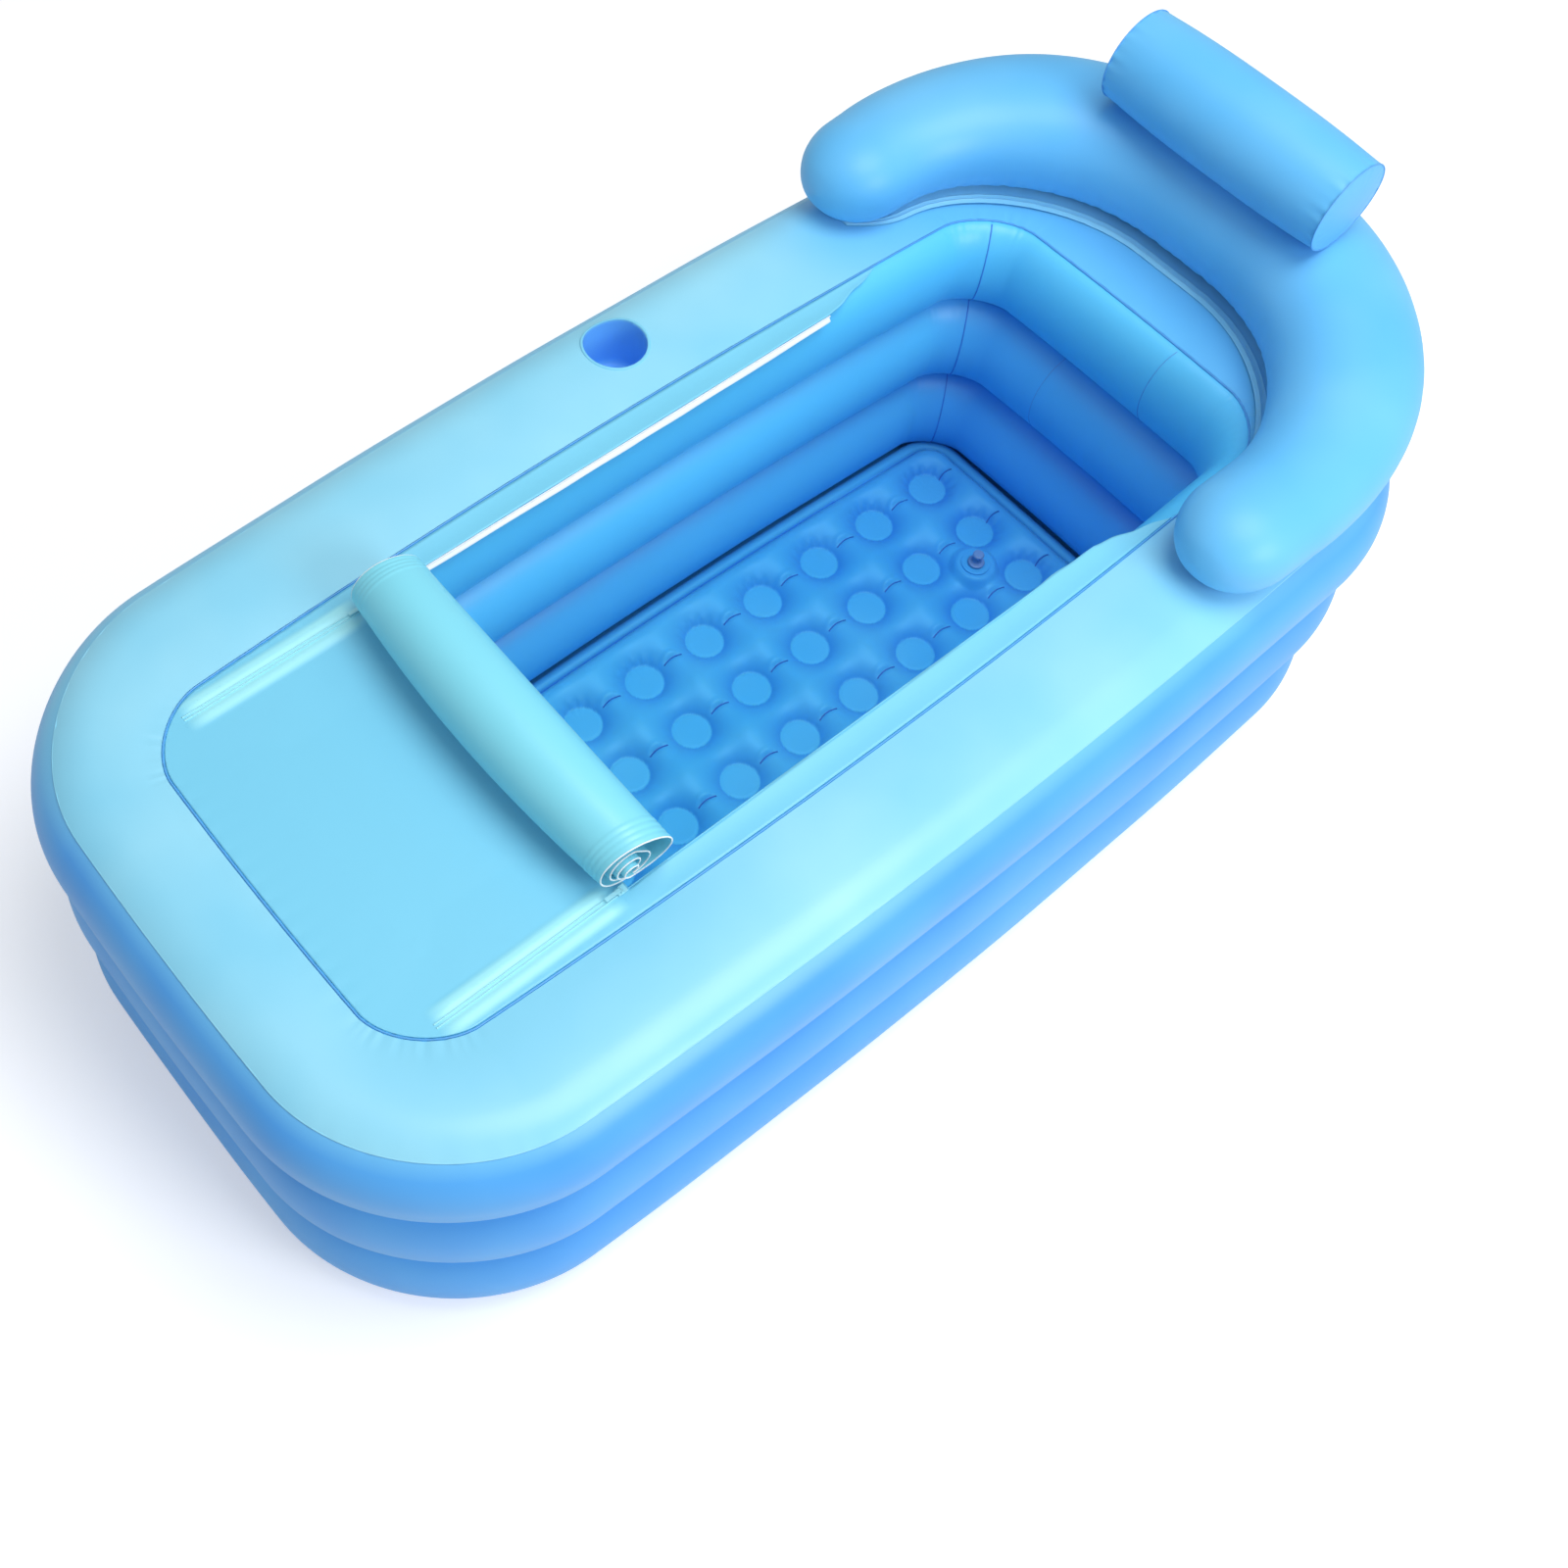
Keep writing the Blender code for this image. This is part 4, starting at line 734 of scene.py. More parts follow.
def swept(points, inward, section):
    """A grid of points: the section of (inset, height) carried round the plan."""
    section = np.asarray(section, float)
    spots = placed(points, inward, section[:, 0])
    heights = np.broadcast_to(section[:, 1], spots.shape[:2])
    return np.dstack([spots, heights])


def half_width_at(x):
    s = bpy.context.scene.tub_plan
    half_x = s.length / 2 - s.end_bow
    return s.width / 2 - s.side_bow + s.side_bow * (1 - (x / half_x) ** 2)


def arc(inset, depth, half, middle, start, end, steps):
    """Points on the half ellipse that an air wall swells to."""
    a = np.radians(np.linspace(start, end, steps))
    return np.c_[inset - depth * np.cos(a), middle + half * np.sin(a)]


def deck_height(inset):
    """Height of the upper ring's top at an inset."""
    top = RING_BASES[2] + SHELL_HEIGHT
    half = SHELL_HEIGHT / 2
    inset = np.asarray(inset, float)
    rise = np.clip((DECK_CROWN_INSET - inset) / DECK_DEPTH, 0, 1)
    outer = top - half + half * np.sqrt(1 - rise ** 2)
    s = bpy.context.scene.tub_plan
    run = s.ring_width - INNER_BULGE - DECK_CROWN_INSET
    inner = top - DECK_DROP * np.clip((inset - DECK_CROWN_INSET) / run, 0, 1.2) ** 2
    return np.where(inset < DECK_CROWN_INSET, outer, inner)


def seam_insets():
    s = bpy.context.scene.tub_plan
    outer = DECK_CROWN_INSET - DECK_DEPTH * math.cos(SEAM_ANGLE)
    return outer, s.ring_width - INNER_BULGE


def uneven(lengths, waves, seed):
    """A smooth uneven pattern along a closed length, made of a few whole waves."""
    total = lengths[-1] + lengths[1]
    rng = np.random.default_rng(seed)
    made = np.zeros_like(lengths)
    for wave in waves:
        count = max(1, round(total / wave))
        made += np.sin(math.tau * count * lengths / total + rng.uniform(0, math.tau))
    return made / len(waves)


class RingsOperator(bpy.types.Operator):
    """Make the three air rings, the welds between them and the seams of their panels"""
    bl_idname = "tub.rings"
    bl_label = "Air rings"

    def execute(self, context):
        s = context.scene.tub_plan
        points, inward, lengths = plan(s.step)
        half = SHELL_HEIGHT / 2
        press = s.ring_width - s.ring_bulge
        steps = 24
        for level, name in enumerate(RINGS):
            base = RING_BASES[level]
            middle = base + half
            if name == "ring_upper":
                section = self.upper_section(middle, half, press, s.ring_bulge, steps)
            else:
                outer = arc(s.ring_bulge, s.ring_bulge, half, middle, -90, 90, steps * 2)
                inner = arc(press, -s.ring_bulge, half, middle, 90, -90, steps * 2)
                section = np.vstack([outer, inner])
            grid = self.puckered(swept(points, inward, section), section, inward, lengths, base, level)
            mesh = grid_mesh(name + "_film", grid, wrap_rows=True, wrap_cols=True)
            # Painted light and shade: the bath side takes a cyan that stands in for light shining through the
            # film, most of all along the sides, and is painted weaker at the head end and low down as shade
            to_head = np.clip(-inward[:, :1], 0, 1) * (points[:, :1] > 0)
            bath_side = section[:, 0] > s.ring_width / 2
            bath = bath_side * (1 - (0.55, 0.50, 0.05)[level] * to_head) * (0.82, 0.94, 1.0)[level]
            paint(mesh, "bath", bath)
            # The cyan of the deck fades out over the upper ring's shoulder, further on the far side
            high = np.clip((section[:, 1] - middle) / half / math.sin(SEAM_ANGLE), 0, 1)
            shoulder = (section[:, 0] < s.ring_width / 2) * (level == 2)
            to_far = np.clip(-inward[:, 1:] * 1.3, 0, 1)
            near_fade = 0.45 * np.clip((high - 0.80) / 0.2, 0, 1)
            far_fade = 0.85 * np.clip((high - 0.35) / 0.5, 0, 1)
            paint(mesh, "deck", shoulder * (near_fade * (1 - to_far) + far_fade * to_far))
            ring = finish_piece(name + "_film", mesh, "ring", [name])
            if name == "ring_upper":
                cut(ring, cup_cutter())
        for name, level in (("lower", 1), ("upper", 2)):
            height = RING_BASES[level] - GAP / 2
            for side, inset in (("outer", s.ring_bulge - WELD_DEPTH), ("inner", press + WELD_DEPTH)):
                path = swept(points, inward, [(inset, height)])[:, 0]
                node = side + "_weld_" + name
                seam_line(node + "_line", path, 0.0024, True, "seam", [node])
        self.panel_seams(points, inward, half, press, s.ring_bulge)
        return {"FINISHED"}

    def upper_section(self, middle, half, press, bulge, steps):
        """Round outside, domed under the deck, and swelling inwards below the inner seam."""
        outer_seam, inner_seam = seam_insets()
        low = arc(bulge, bulge, half, middle, -90, 0, steps)
        a = np.linspace(0, SEAM_ANGLE, steps)[1:]
        depth = DECK_CROWN_INSET + (DECK_DEPTH - DECK_CROWN_INSET) * a / SEAM_ANGLE
        high = np.c_[DECK_CROWN_INSET - depth * np.cos(a), middle + half * np.sin(a)]
        across = np.linspace(outer_seam, inner_seam, 30)[1:]
        deck = np.c_[across, deck_height(across)]
        inner_high = arc(inner_seam, -INNER_BULGE, half - DECK_DROP, middle, 90, 0, steps)[1:]
        inner_low = arc(press, -bulge, half, middle, 0, -90, steps)[1:]
        return np.vstack([low, high, deck, inner_high, inner_low])

    def puckered(self, grid, section, inward, lengths, base, seed):
        """Small puckers that die away from each weld, and a slow unevenness of the whole wall."""
        s = bpy.context.scene.tub_plan
        normal = grid_normals(grid, True, True)
        outwards = np.sign(np.sum(normal[:, 4, :2] * -inward))
        normal *= outwards
        near = np.exp(-((section[:, 1] - base) / 0.016) ** 2)
        near += np.exp(-((section[:, 1] - base - SHELL_HEIGHT) / 0.016) ** 2)
        wall = (section[:, 0] < s.ring_bulge) | (section[:, 0] > s.ring_width - s.ring_bulge)
        turning = np.abs(np.prod(inward, axis=1)) * 1.2
        fine = uneven(lengths, (0.031, 0.023, 0.043), seed + 3) * (0.35 + turning)
        slow = uneven(lengths, (0.42, 0.27, 0.9), seed + 11) * 0.0006
        amount = s.pucker * fine[:, None] * (near * wall)[None, :]
        amount += slow[:, None] * (wall * (1 - near))[None, :]
        return grid + normal * np.minimum(amount, 0.0004)[:, :, None]

    def panel_seams(self, points, inward, half, press, bulge):
        """Thin welded seams up the inner walls: in two of the corners and on the head wall."""
        inner_seam = seam_insets()[1]
        slant = np.arctan2(-inward[:, 1], -inward[:, 0])
        corners = [np.argmin(np.abs(slant - math.radians(d))) for d in (45, -135)]
        on_head = np.where((inward[:, 0] < -0.9))[0]
        head = [on_head[np.argmin(np.abs(points[on_head, 1] - y))] for y in (-0.085, 0.060)]
        for level, name in enumerate(RINGS):
            middle = RING_BASES[level] + half
            if name == "ring_upper":
                top = arc(inner_seam, -INNER_BULGE, half - DECK_DROP, middle, 80, 0, 14)
                section = np.vstack([top, arc(press, -bulge, half, middle, 0, -78, 14)[1:]])
            else:
                section = arc(press, -bulge, half, middle, 78, -78, 28)
            places = corners + ([head[0]] if level == 2 else [head[1]] if level == 1 else [])
            for k, at in enumerate(places):
                line = swept(points[at:at + 1], inward[at:at + 1], section)[0]
                if k >= 2:
                    line[:, 1] += 0.010 * np.cos(np.linspace(-1.2, 1.2, len(line)))
                width, finish = (0.0006, "seam") if k >= 2 else (0.0010, "seam_dark")
                seam_line(f"{name}_panel_seam_{k}", line, width, False, finish)


def cup_place():
    low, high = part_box("cup_holder")
    return (low.x + high.x) / 2, (low.y + high.y) / 2, (high.x - low.x) / 2


def cup_cutter():
    x, y, radius = cup_place()
    profile = [(0, RING_BASES[2] + 0.02), (radius + GAP, RING_BASES[2] + 0.02), (radius + GAP, 0.5), (0, 0.5)]
    mesh = turned_mesh("cup_cutter", profile, 64, Matrix.Translation((x, y, 0)))
    return linked("cup_cutter", mesh)


class DeckOperator(bpy.types.Operator):
    """Make the deck's skin with its two seams, and the cup holder sunk in it"""
    bl_idname = "tub.deck"
    bl_label = "Deck and cup holder"

    def execute(self, context):
        s = context.scene.tub_plan
        points, inward, lengths = plan(s.step)
        outer_seam, inner_seam = seam_insets()
        across = outer_seam + (inner_seam - outer_seam) * (1 - np.cos(np.linspace(0, math.pi, 34))) / 2
        line = np.c_[across, deck_height(across)]
        along = np.gradient(line, axis=0)
        along /= np.linalg.norm(along, axis=1, keepdims=True)
        up = np.c_[-along[:, 1], along[:, 0]]
        section = np.vstack([line + up * (GAP + FILM), (line + up * GAP)[::-1]])
        grid = swept(points, inward, section)
        near = np.exp(-((across - inner_seam) / 0.018) ** 2)
        near += 0.6 * np.exp(-((across - outer_seam) / 0.014) ** 2)
        turning = np.abs(np.prod(inward, axis=1)) * 2
        fine = np.minimum(uneven(lengths, (0.034, 0.026, 0.047), 21) * (0.4 + turning), 0.3)
        lift = s.pucker * 1.2 * fine[:, None] * near[None, :]
        grid[:, :34, 2] += np.minimum(lift, 0.0003)
        mesh = grid_mesh("deck_film", grid, wrap_rows=True, wrap_cols=True)
        # Painted shade: the deck is painted towards the backrest's blue near the head end, where the backrest
        # shades it
        paint(mesh, "head", 0.8 * np.clip((grid[:, :, 0] - 0.30) / 0.22, 0, 1))
        deck = finish_piece("deck_film", mesh, "deck", ["deck_skin"])
        cut(deck, cup_cutter())
        path = swept(points, inward, [(outer_seam - 0.0004, deck_height(outer_seam) + 0.0006)])[:, 0]
        seam_line("outer_seam_line", path, 0.0008, True, "deck", ["outer_seam_bead"])
        path = swept(points, inward, [(inner_seam + 0.0018, deck_height(inner_seam) + 0.0012)])[:, 0]
        seam_line("inner_seam_line", path, 0.0009, True, "seam", ["inner_seam_bead"])
        self.cup(s)
        return {"FINISHED"}

    def cup(self, s):
        """A plain round well whose rolled rim follows the crown of the deck."""
        x, y, radius = cup_place()
        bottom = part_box("cup_holder")[0].z
        wall = 0.0012
        inside = radius - wall
        profile = [
            (0.0, bottom + wall), (inside - 0.006, bottom + wall), (inside - 0.002, bottom + 0.003),
            (inside, bottom + 0.009), (inside, -0.004), (inside + 0.0002, -0.0012),
            (radius - 0.0004, 0.0022), (radius + 0.0012, 0.0028), (radius + 0.0026, 0.0022),
            (radius + 0.0030, 0.0014), (radius + 0.0004, 0.0012), (radius, -0.004),
            (radius, bottom + 0.006), (radius - 0.006, bottom), (0.0, bottom),
        ]
        angles = np.linspace(0, math.tau, 96, endpoint=False)
        grid = np.empty((len(profile), 96, 3))
        for row, (r, z) in enumerate(profile):
            px, py = x + r * np.cos(angles), y + r * np.sin(angles)
            grid[row, :, 0], grid[row, :, 1] = px, py
            grid[row, :, 2] = z if z > 0.1 else deck_height(half_width_at(px) - py) + z
        mesh = grid_mesh("cup_well", grid, wrap_cols=True)
        mended(mesh, merge=1e-6)
        away = np.array([math.hypot(v.co.x - x, v.co.y - y) for v in mesh.vertices])
        paint(mesh, "rim", away > radius - 0.0008)
        finish_piece("cup_well", mesh, "cup", ["cup_holder"], sharp_deg=60)


class BaseOperator(bpy.types.Operator):
    """Make the base sheet that the rings stand on"""
    bl_idname = "tub.base"
    bl_label = "Base sheet"

    def execute(self, context):
        points, inward, _ = plan(context.scene.tub_plan.step)
        outline = placed(points, inward, [0.045])[:, 0]
        count = len(outline)
        verts = [(x, y, z) for z in (0.0, FILM) for x, y in outline.tolist()]
        faces = [list(range(count)), list(range(count, 2 * count))]
        faces += [[k, (k + 1) % count, count + (k + 1) % count, count + k] for k in range(count)]
        mesh = outward_mesh("base_film", verts, faces)
        # Painted shade: the base sheet takes some of the floor's deep blue, as it shows only in the shade
        # under the walls
        paint(mesh, "weld", np.full(2 * count, 0.35))
        sheet = finish_piece("base_film", mesh, "floor", ["base_sheet"])
        return {"FINISHED"}


class FloorOperator(bpy.types.Operator):
    """Make the quilted floor cushion with its welded dots and creases"""
    bl_idname = "tub.floor"
    bl_label = "Quilted floor"

    # How far the cushion reaches under the walls: past its solid at the ends, and past the bulge
    under_ends = 0.020
    under_sides = 0.015
    # The welded rim: its level, and the middle, half width and height of its tube
    rim_level = 0.009
    tube_in = 0.0110
    tube_half = 0.0100
    tube_height = 0.0095
    groove_in = 0.0220

    def execute(self, context):
        s, f = context.scene.tub_plan, context.scene.tub_floor
        low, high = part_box("floor_cushion")
        half_x = (high.x - low.x) / 2
        ts = np.linspace(-1, 1, round((high.y - low.y) / f.step))
        half_x += self.under_ends
        us = np.linspace(-half_x, half_x, round(2 * half_x / f.step))
        half_y = half_width_at(us) - s.ring_width + self.under_sides
        corner = s.corner_radius - s.ring_width - 0.004
        x = np.repeat(us[:, None], len(ts), 1)
        y = ts[None, :] * half_y[:, None]
        turn = 0.055
        from_end = np.maximum(turn - (half_x - np.abs(x)), 0)
        from_side = np.maximum(turn - (half_y[:, None] - np.abs(y)), 0)
        edge = np.maximum(turn - np.hypot(from_end, from_side), 0)
        px = np.clip((np.abs(x) - half_x + corner) / corner, 0, 1)
        py = np.clip((np.abs(y) - half_y[:, None] + corner) / corner, 0, 1)
        both = (px > 0) & (py > 0)
        rx = half_x - corner + corner * px * np.sqrt(1 - py * py / 2)
        ry = half_y[:, None] - corner + corner * py * np.sqrt(1 - px * px / 2)
        x = np.where(both, np.copysign(rx, x), x) - s.bath_shift
        y = np.where(both, np.copysign(ry, y), y)
        z, deep = self.heights(x, y, f)
        # A round welded rim runs round the cushion, with a groove inside it
        rim = FLOOR_BOTTOM + self.rim_level
        dome = np.sqrt(1 - (1 - np.clip((edge - 0.0215) / 0.026, 0, 1)) ** 2)
        z = rim + (z - rim) * dome
        z += self.tube_height * np.sqrt(np.clip(1 - ((edge - self.tube_in) / self.tube_half) ** 2, 0, 1))
        # Painted shade: deeper blue next to the walls and in the groove inside the rim
        deep = np.maximum(deep, np.clip(1.6 - edge / 0.020, 0, 1) * 0.35)
        deep = np.maximum(deep, 0.85 * np.exp(-((edge - self.groove_in) / 0.0035) ** 2))
        for node, reach in (("drain_body", 0.0105), ("floor_valve", 0.0058)):
            a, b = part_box(node)
            away = np.hypot(x - (a.x + b.x) / 2, y - (a.y + b.y) / 2)
            z = np.where(away < reach, FLOOR_BOTTOM + 0.002, z)
        top = np.dstack([x, y, z])
        rows, cols = top.shape[:2]
        verts = top.reshape(-1, 3).tolist()
        faces = grid_faces(rows, cols, False, False)
        index = np.arange(rows * cols).reshape(rows, cols)
        border = np.r_[index[0, :-1], index[:-1, -1], index[-1, :0:-1], index[:0:-1, 0]].tolist()
        below = list(range(len(verts), len(verts) + len(border)))
        deep = deep.ravel().tolist() + [0.5] * len(border)
        verts += [(verts[k][0], verts[k][1], FLOOR_BOTTOM) for k in border]
        for k in range(len(border)):
            m = (k + 1) % len(border)
            faces.append([border[k], border[m], below[m], below[k]])
        faces.append(below)
        mesh = outward_mesh("floor_quilt", verts, faces)
        # Painted shade: the weld layer holds how much of the deep blue is painted as shade
        paint(mesh, "weld", deep)
        quilt = finish_piece("floor_quilt", mesh, "floor", ["floor_cushion"], sharp_deg=80)
        self.creases(f)
        return {"FINISHED"}

    crease_half = 0.0140
    crease_back = 0.0040

    def crease_curve(self, share):
        """How far a crease lies off the line of its dots, for a share from -1 to 1 along it."""
        return 0.0028 * (1 - share ** 2) - 0.0010 * share

    def creases(self, f):
        """The dark folded lines at the bottom of the creases, one between each two dots: dark beads of
        painted shade.
        """
        share = np.linspace(-1, 1, 13)
        lines = []
        for column in range(-1, f.columns - 1):
            for row in range(f.rows):
                half = self.crease_half * (0.7 if column < 0 else 1.0)
                x = f.first_x - (column + 0.5) * f.pitch_x - self.crease_back - (0.014 if column < 0 else 0.0)
                x = x + half * share
                y = (row - (f.rows - 1) / 2) * f.pitch_y + self.crease_curve(share)
                z = self.heights(x, y, f)[0] + 0.0004
                lines.append(np.c_[x, y, z])
        thin = np.sqrt(1 - (share * 0.97) ** 2)
        source = path_object("crease_path", lines, radii=thin)
        values = {"Half width": 0.0010, "Sides": 6, "Finish": finishes()["crease"]}
        mesh = tree_mesh(seam_tree(), source, values)
        finish_piece("floor_creases", mesh, "crease")

    def heights(self, x, y, f):
        """Top of the cushion, with flat dots, taut humps, creases and tucks, and how deep a blue it is
        painted as shade.
        """
        column = np.clip(np.round((f.first_x - x) / f.pitch_x), 0, f.columns - 1)
        row = np.clip(np.round(y / f.pitch_y + (f.rows - 1) / 2), 0, f.rows - 1)
        dx = x - (f.first_x - column * f.pitch_x)
        dy = y - (row - (f.rows - 1) / 2) * f.pitch_y
        away = np.hypot(dx, dy)
        reach = math.hypot(f.pitch_x, f.pitch_y) / 2 - f.dot_radius
        u = np.clip((away - f.dot_radius) / reach, 0, 1)
        rise = np.ones_like(x)
        for step_x in (-1, 0, 1):
            for step_y in (-1, 0, 1):
                there = (column + step_x >= 0) & (column + step_x < f.columns)
                there &= (row + step_y >= 0) & (row + step_y < f.rows)
                far = np.hypot(dx + step_x * f.pitch_x, dy - step_y * f.pitch_y)
                near = np.clip((far - f.dot_radius) / (f.dot_radius * 2.2), 0, 1)
                rise *= np.where(there, 1 - (1 - near) ** 2.2, 1.0)
        rise = rise ** 0.9
        z = FLOOR_TOP - f.dot_depth * (1 - rise)
        disc = np.clip((f.dot_radius - away) / 0.0018, 0, 1)
        z += 0.0016 * disc * disc * (3 - 2 * disc)
        angle = np.arctan2(dy, dx)
        rng = np.random.default_rng(5)
        phase = rng.uniform(0, math.tau, (f.columns, f.rows))[column.astype(int), row.astype(int)]
        tucks = np.sin(15 * angle + phase) * np.exp(-((u - 0.14) / 0.11) ** 2)
        to_far = np.clip(np.sin(angle), 0, 1) * (row == f.rows - 1)
        to_head = np.clip(np.cos(angle), 0, 1) * (column == 0)
        z += 0.0011 * tucks * (0.12 + np.maximum(to_far, to_head))
        # A curved crease between each dot and the next one along the tub
        share = ((np.abs(dx) - f.pitch_x / 2) * np.sign(dx) + self.crease_back) / self.crease_half
        bend = dy - self.crease_curve(share)
        fall = np.clip(1.2 - share ** 2, 0, 1) * ((column > 0) | (dx < 0))
        z -= f.crease * np.exp(-(bend / 0.0034) ** 2) * fall
        z += f.crease * 0.35 * np.exp(-((bend - 0.0075) / 0.0034) ** 2) * fall
        # Painted shade: deeper blue in the trench round each dot, fading away from it, but not on the dot
        # itself
        deep = 0.36 * np.exp(-u / 0.34) * np.clip((away - f.dot_radius) / 0.001, 0, 1) + 0.10
        # Painted shade: the film is painted deeper blue towards the head end, and along each crease
        deep += 0.24 * np.clip((x + 0.10) / 0.60, 0, 1)
        deep = np.maximum(deep, 0.5 * np.exp(-(bend / 0.0040) ** 2) * fall)
        for node in ("drain_body", "floor_valve"):
            a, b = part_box(node)
            near = np.hypot(x - (a.x + b.x) / 2, y - (a.y + b.y) / 2)
            patch = np.clip((0.036 - near) / 0.012, 0, 1)
            patch = patch * patch * (3 - 2 * patch)
            z = z * (1 - patch) + FLOOR_TOP * patch
            deep = deep * (1 - patch) + 0.45 * patch
        return z, np.clip(deep, 0, 1)


class DrainOperator(bpy.types.Operator):
    """Make the drain's flange and its pull-out plug"""
    bl_idname = "tub.drain"
    bl_label = "Drain and plug"

    def execute(self, context):
        low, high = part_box("drain_body")
        place = Matrix.Translation(((low.x + high.x) / 2, (low.y + high.y) / 2, 0))
        seat, top = high.z - 0.002, high.z
        profile = rounded([
            (0.0090, low.z), (0.0115, low.z), (0.0115, seat), (0.0200, seat), (0.0200, top - 0.0004),
            (0.0175, top), (0.0125, top), (0.0118, top - 0.0007), (0.0100, top - 0.0007),
            (0.0090, top - 0.001),
        ], 0.0005)
        mesh = turned_mesh("drain_flange", profile, 64, place)
        paint(mesh, "weld", np.full(len(mesh.vertices), 0.45))
        finish_piece("drain_flange", mesh, "floor", ["drain_body"])
        low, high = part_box("drain_plug")
        z = high.z
        profile = rounded([
            (0.0, low.z), (0.0085, low.z), (0.0085, z - 0.0190), (0.0115, z - 0.0190), (0.0115, z - 0.0170),
            (0.0098, z - 0.0160), (0.0062, z - 0.0155), (0.0048, z - 0.0120), (0.0050, z - 0.0050),
            (0.0076, z - 0.0040), (0.0080, z - 0.0015), (0.0066, z), (0.0, z),
        ], 0.0009)
        mesh = turned_mesh("drain_plug_moulding", profile, 48, place)
        finish_piece("drain_plug_moulding", mesh, "drain", ["drain_plug"], "drain_plug")
        return {"FINISHED"}


class CoverOperator(bpy.types.Operator):
    """Make the closed foot end of the cover and the two side strips"""
    bl_idname = "tub.cover"
    bl_label = "Cover sheet"

    # Height of the ridges beside the closed zips, and the length over which a strip narrows out
    ridge_height = 0.0018
    taper = 0.100

    def execute(self, context):
        c = context.scene.tub_cover
        points, inward, _ = plan(0.006)
        edge = placed(points, inward, [seam_insets()[1] + 0.0039])[:, 0]
        roll_x = (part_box("cover_roll")[0].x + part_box("cover_roll")[1].x) / 2
        grid = self.patch(self.ordered(edge, roll_x), roll_x)
        x, y = grid[:, :, 0], grid[:, :, 1]
        inside = self.depth_inside(x, y, edge)
        sag = c.sag * np.clip(inside / 0.12, 0, 1) ** 0.8 * np.clip((roll_x - x) / 0.05, 0, 1)
        z = np.full(x.shape, COVER_TOP) - sag
        beside = np.abs(np.abs(y) - ZIP_Y)
        run = np.clip((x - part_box("zip_far_fixed")[0].x) / 0.03, 0, 1)
        run = run * (2 - run) * np.clip((roll_x - 0.01 - x) / 0.02, 0, 1)
        valley = np.clip((beside - 0.0032) / 0.0055, 0, 1)
        ridge = np.clip(1 - (beside / 0.0190) ** 4, 0, 1) * (0.16 + 0.84 * valley * valley * (3 - 2 * valley))
        z += self.ridge_height * ridge * run
        # Pale welded tape beside the closed zips, its pale partly a painted highlight on the ridges
        tape = np.clip((0.0200 - beside) / 0.006, 0, 1) * run
        foot = np.dstack([x, y, z])
        pieces = [(foot, tape)]
        low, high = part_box("zip_far_fixed")
        zip_head = high.x
        taper = self.taper
        for side in (1, -1):
            xs = np.linspace(roll_x, zip_head + taper - 0.001, 150)
            outer = np.interp(xs, *self.side_line(edge, side))
            inner = np.full_like(xs, ZIP_Y + (0.0038 if side > 0 else 0.0022))
            rows = np.sort(np.abs(y[0][y[0] * side > ZIP_Y + 0.0038]))
            inner += (rows[0] - inner[0]) * np.exp((roll_x - xs) / 0.02)
            across = (rows - rows[0]) / (rows[-1] - rows[0])
            end = np.interp(zip_head + taper, *self.side_line(edge, side))
            past = np.clip((xs - zip_head) / taper, 0, 1)
            inner = inner + (end - inner) * past ** 1.15
            waves = np.sin(xs / 0.021) + 0.7 * np.sin(xs / 0.0083 + 1.0)
            if side < 0:
                inner += 0.0008 * (waves - 1.7) * np.clip((xs - 0.05) / 0.2, 0, 1) * (1 - past)
            inner += 0.006 * past * (1 - past) * np.sin(xs / 0.009)
            outer[0] = rows[-1]
            sy = inner[:, None] + (outer - inner)[:, None] * across
            sx = np.repeat(xs[:, None], len(rows), 1)
            joined = np.clip((xs - roll_x) / 0.04, 0, 1)[:, None]
            dip = 0.0012 * np.sin(across * math.pi) * (1 - past)[:, None]
            waves = 0.0006 * np.sin(sx / 0.033) * (1 - across) - dip
            sz = COVER_TOP + np.minimum(waves * joined, 0.0008)
            pieces.append((np.dstack([sx, side * sy, sz]), np.zeros(sx.shape)))
        self.build(pieces)
        return {"FINISHED"}

    def ordered(self, edge, roll_x):
        """The foot part of the seam, from the near side of the roll round to the far side."""
        keep = edge[edge[:, 0] < roll_x]
        keep = keep[np.argsort(np.arctan2(-keep[:, 1], -(keep[:, 0] + 0.45)))]
        return keep if keep[0, 1] < 0 else keep[::-1]

    def patch(self, line, roll_x):
        """A smooth grid that fills the foot part of the seam."""
        lengths = np.r_[0, np.cumsum(np.linalg.norm(np.diff(line, axis=0), axis=1))]
        corner_near = lengths[np.argmin(line[:, 0] + line[:, 1])]
        corner_far = lengths[np.argmin(line[:, 0] - line[:, 1])]

        def along(a, b, count):
            at = np.linspace(a, b, count)
            return np.c_[np.interp(at, lengths, line[:, 0]), np.interp(at, lengths, line[:, 1])]

        n, m = 110, 180
        near = along(0, corner_near, n)
        near[0, 0] = roll_x
        far = along(lengths[-1], corner_far, n)
        far[0, 0] = roll_x
        end = along(corner_near, corner_far, m)
        start = np.c_[np.full(m, roll_x), np.linspace(near[0, 1], far[0, 1], m)]
        s = np.linspace(0, 1, n)[:, None, None]
        t = np.linspace(0, 1, m)[None, :, None]
        sides = (1 - t) * near[:, None] + t * far[:, None]
        ends = (1 - s) * start[None] + s * end[None]
        corners = (1 - s) * ((1 - t) * near[0] + t * far[0]) + s * ((1 - t) * near[-1] + t * far[-1])
        return sides + ends - corners

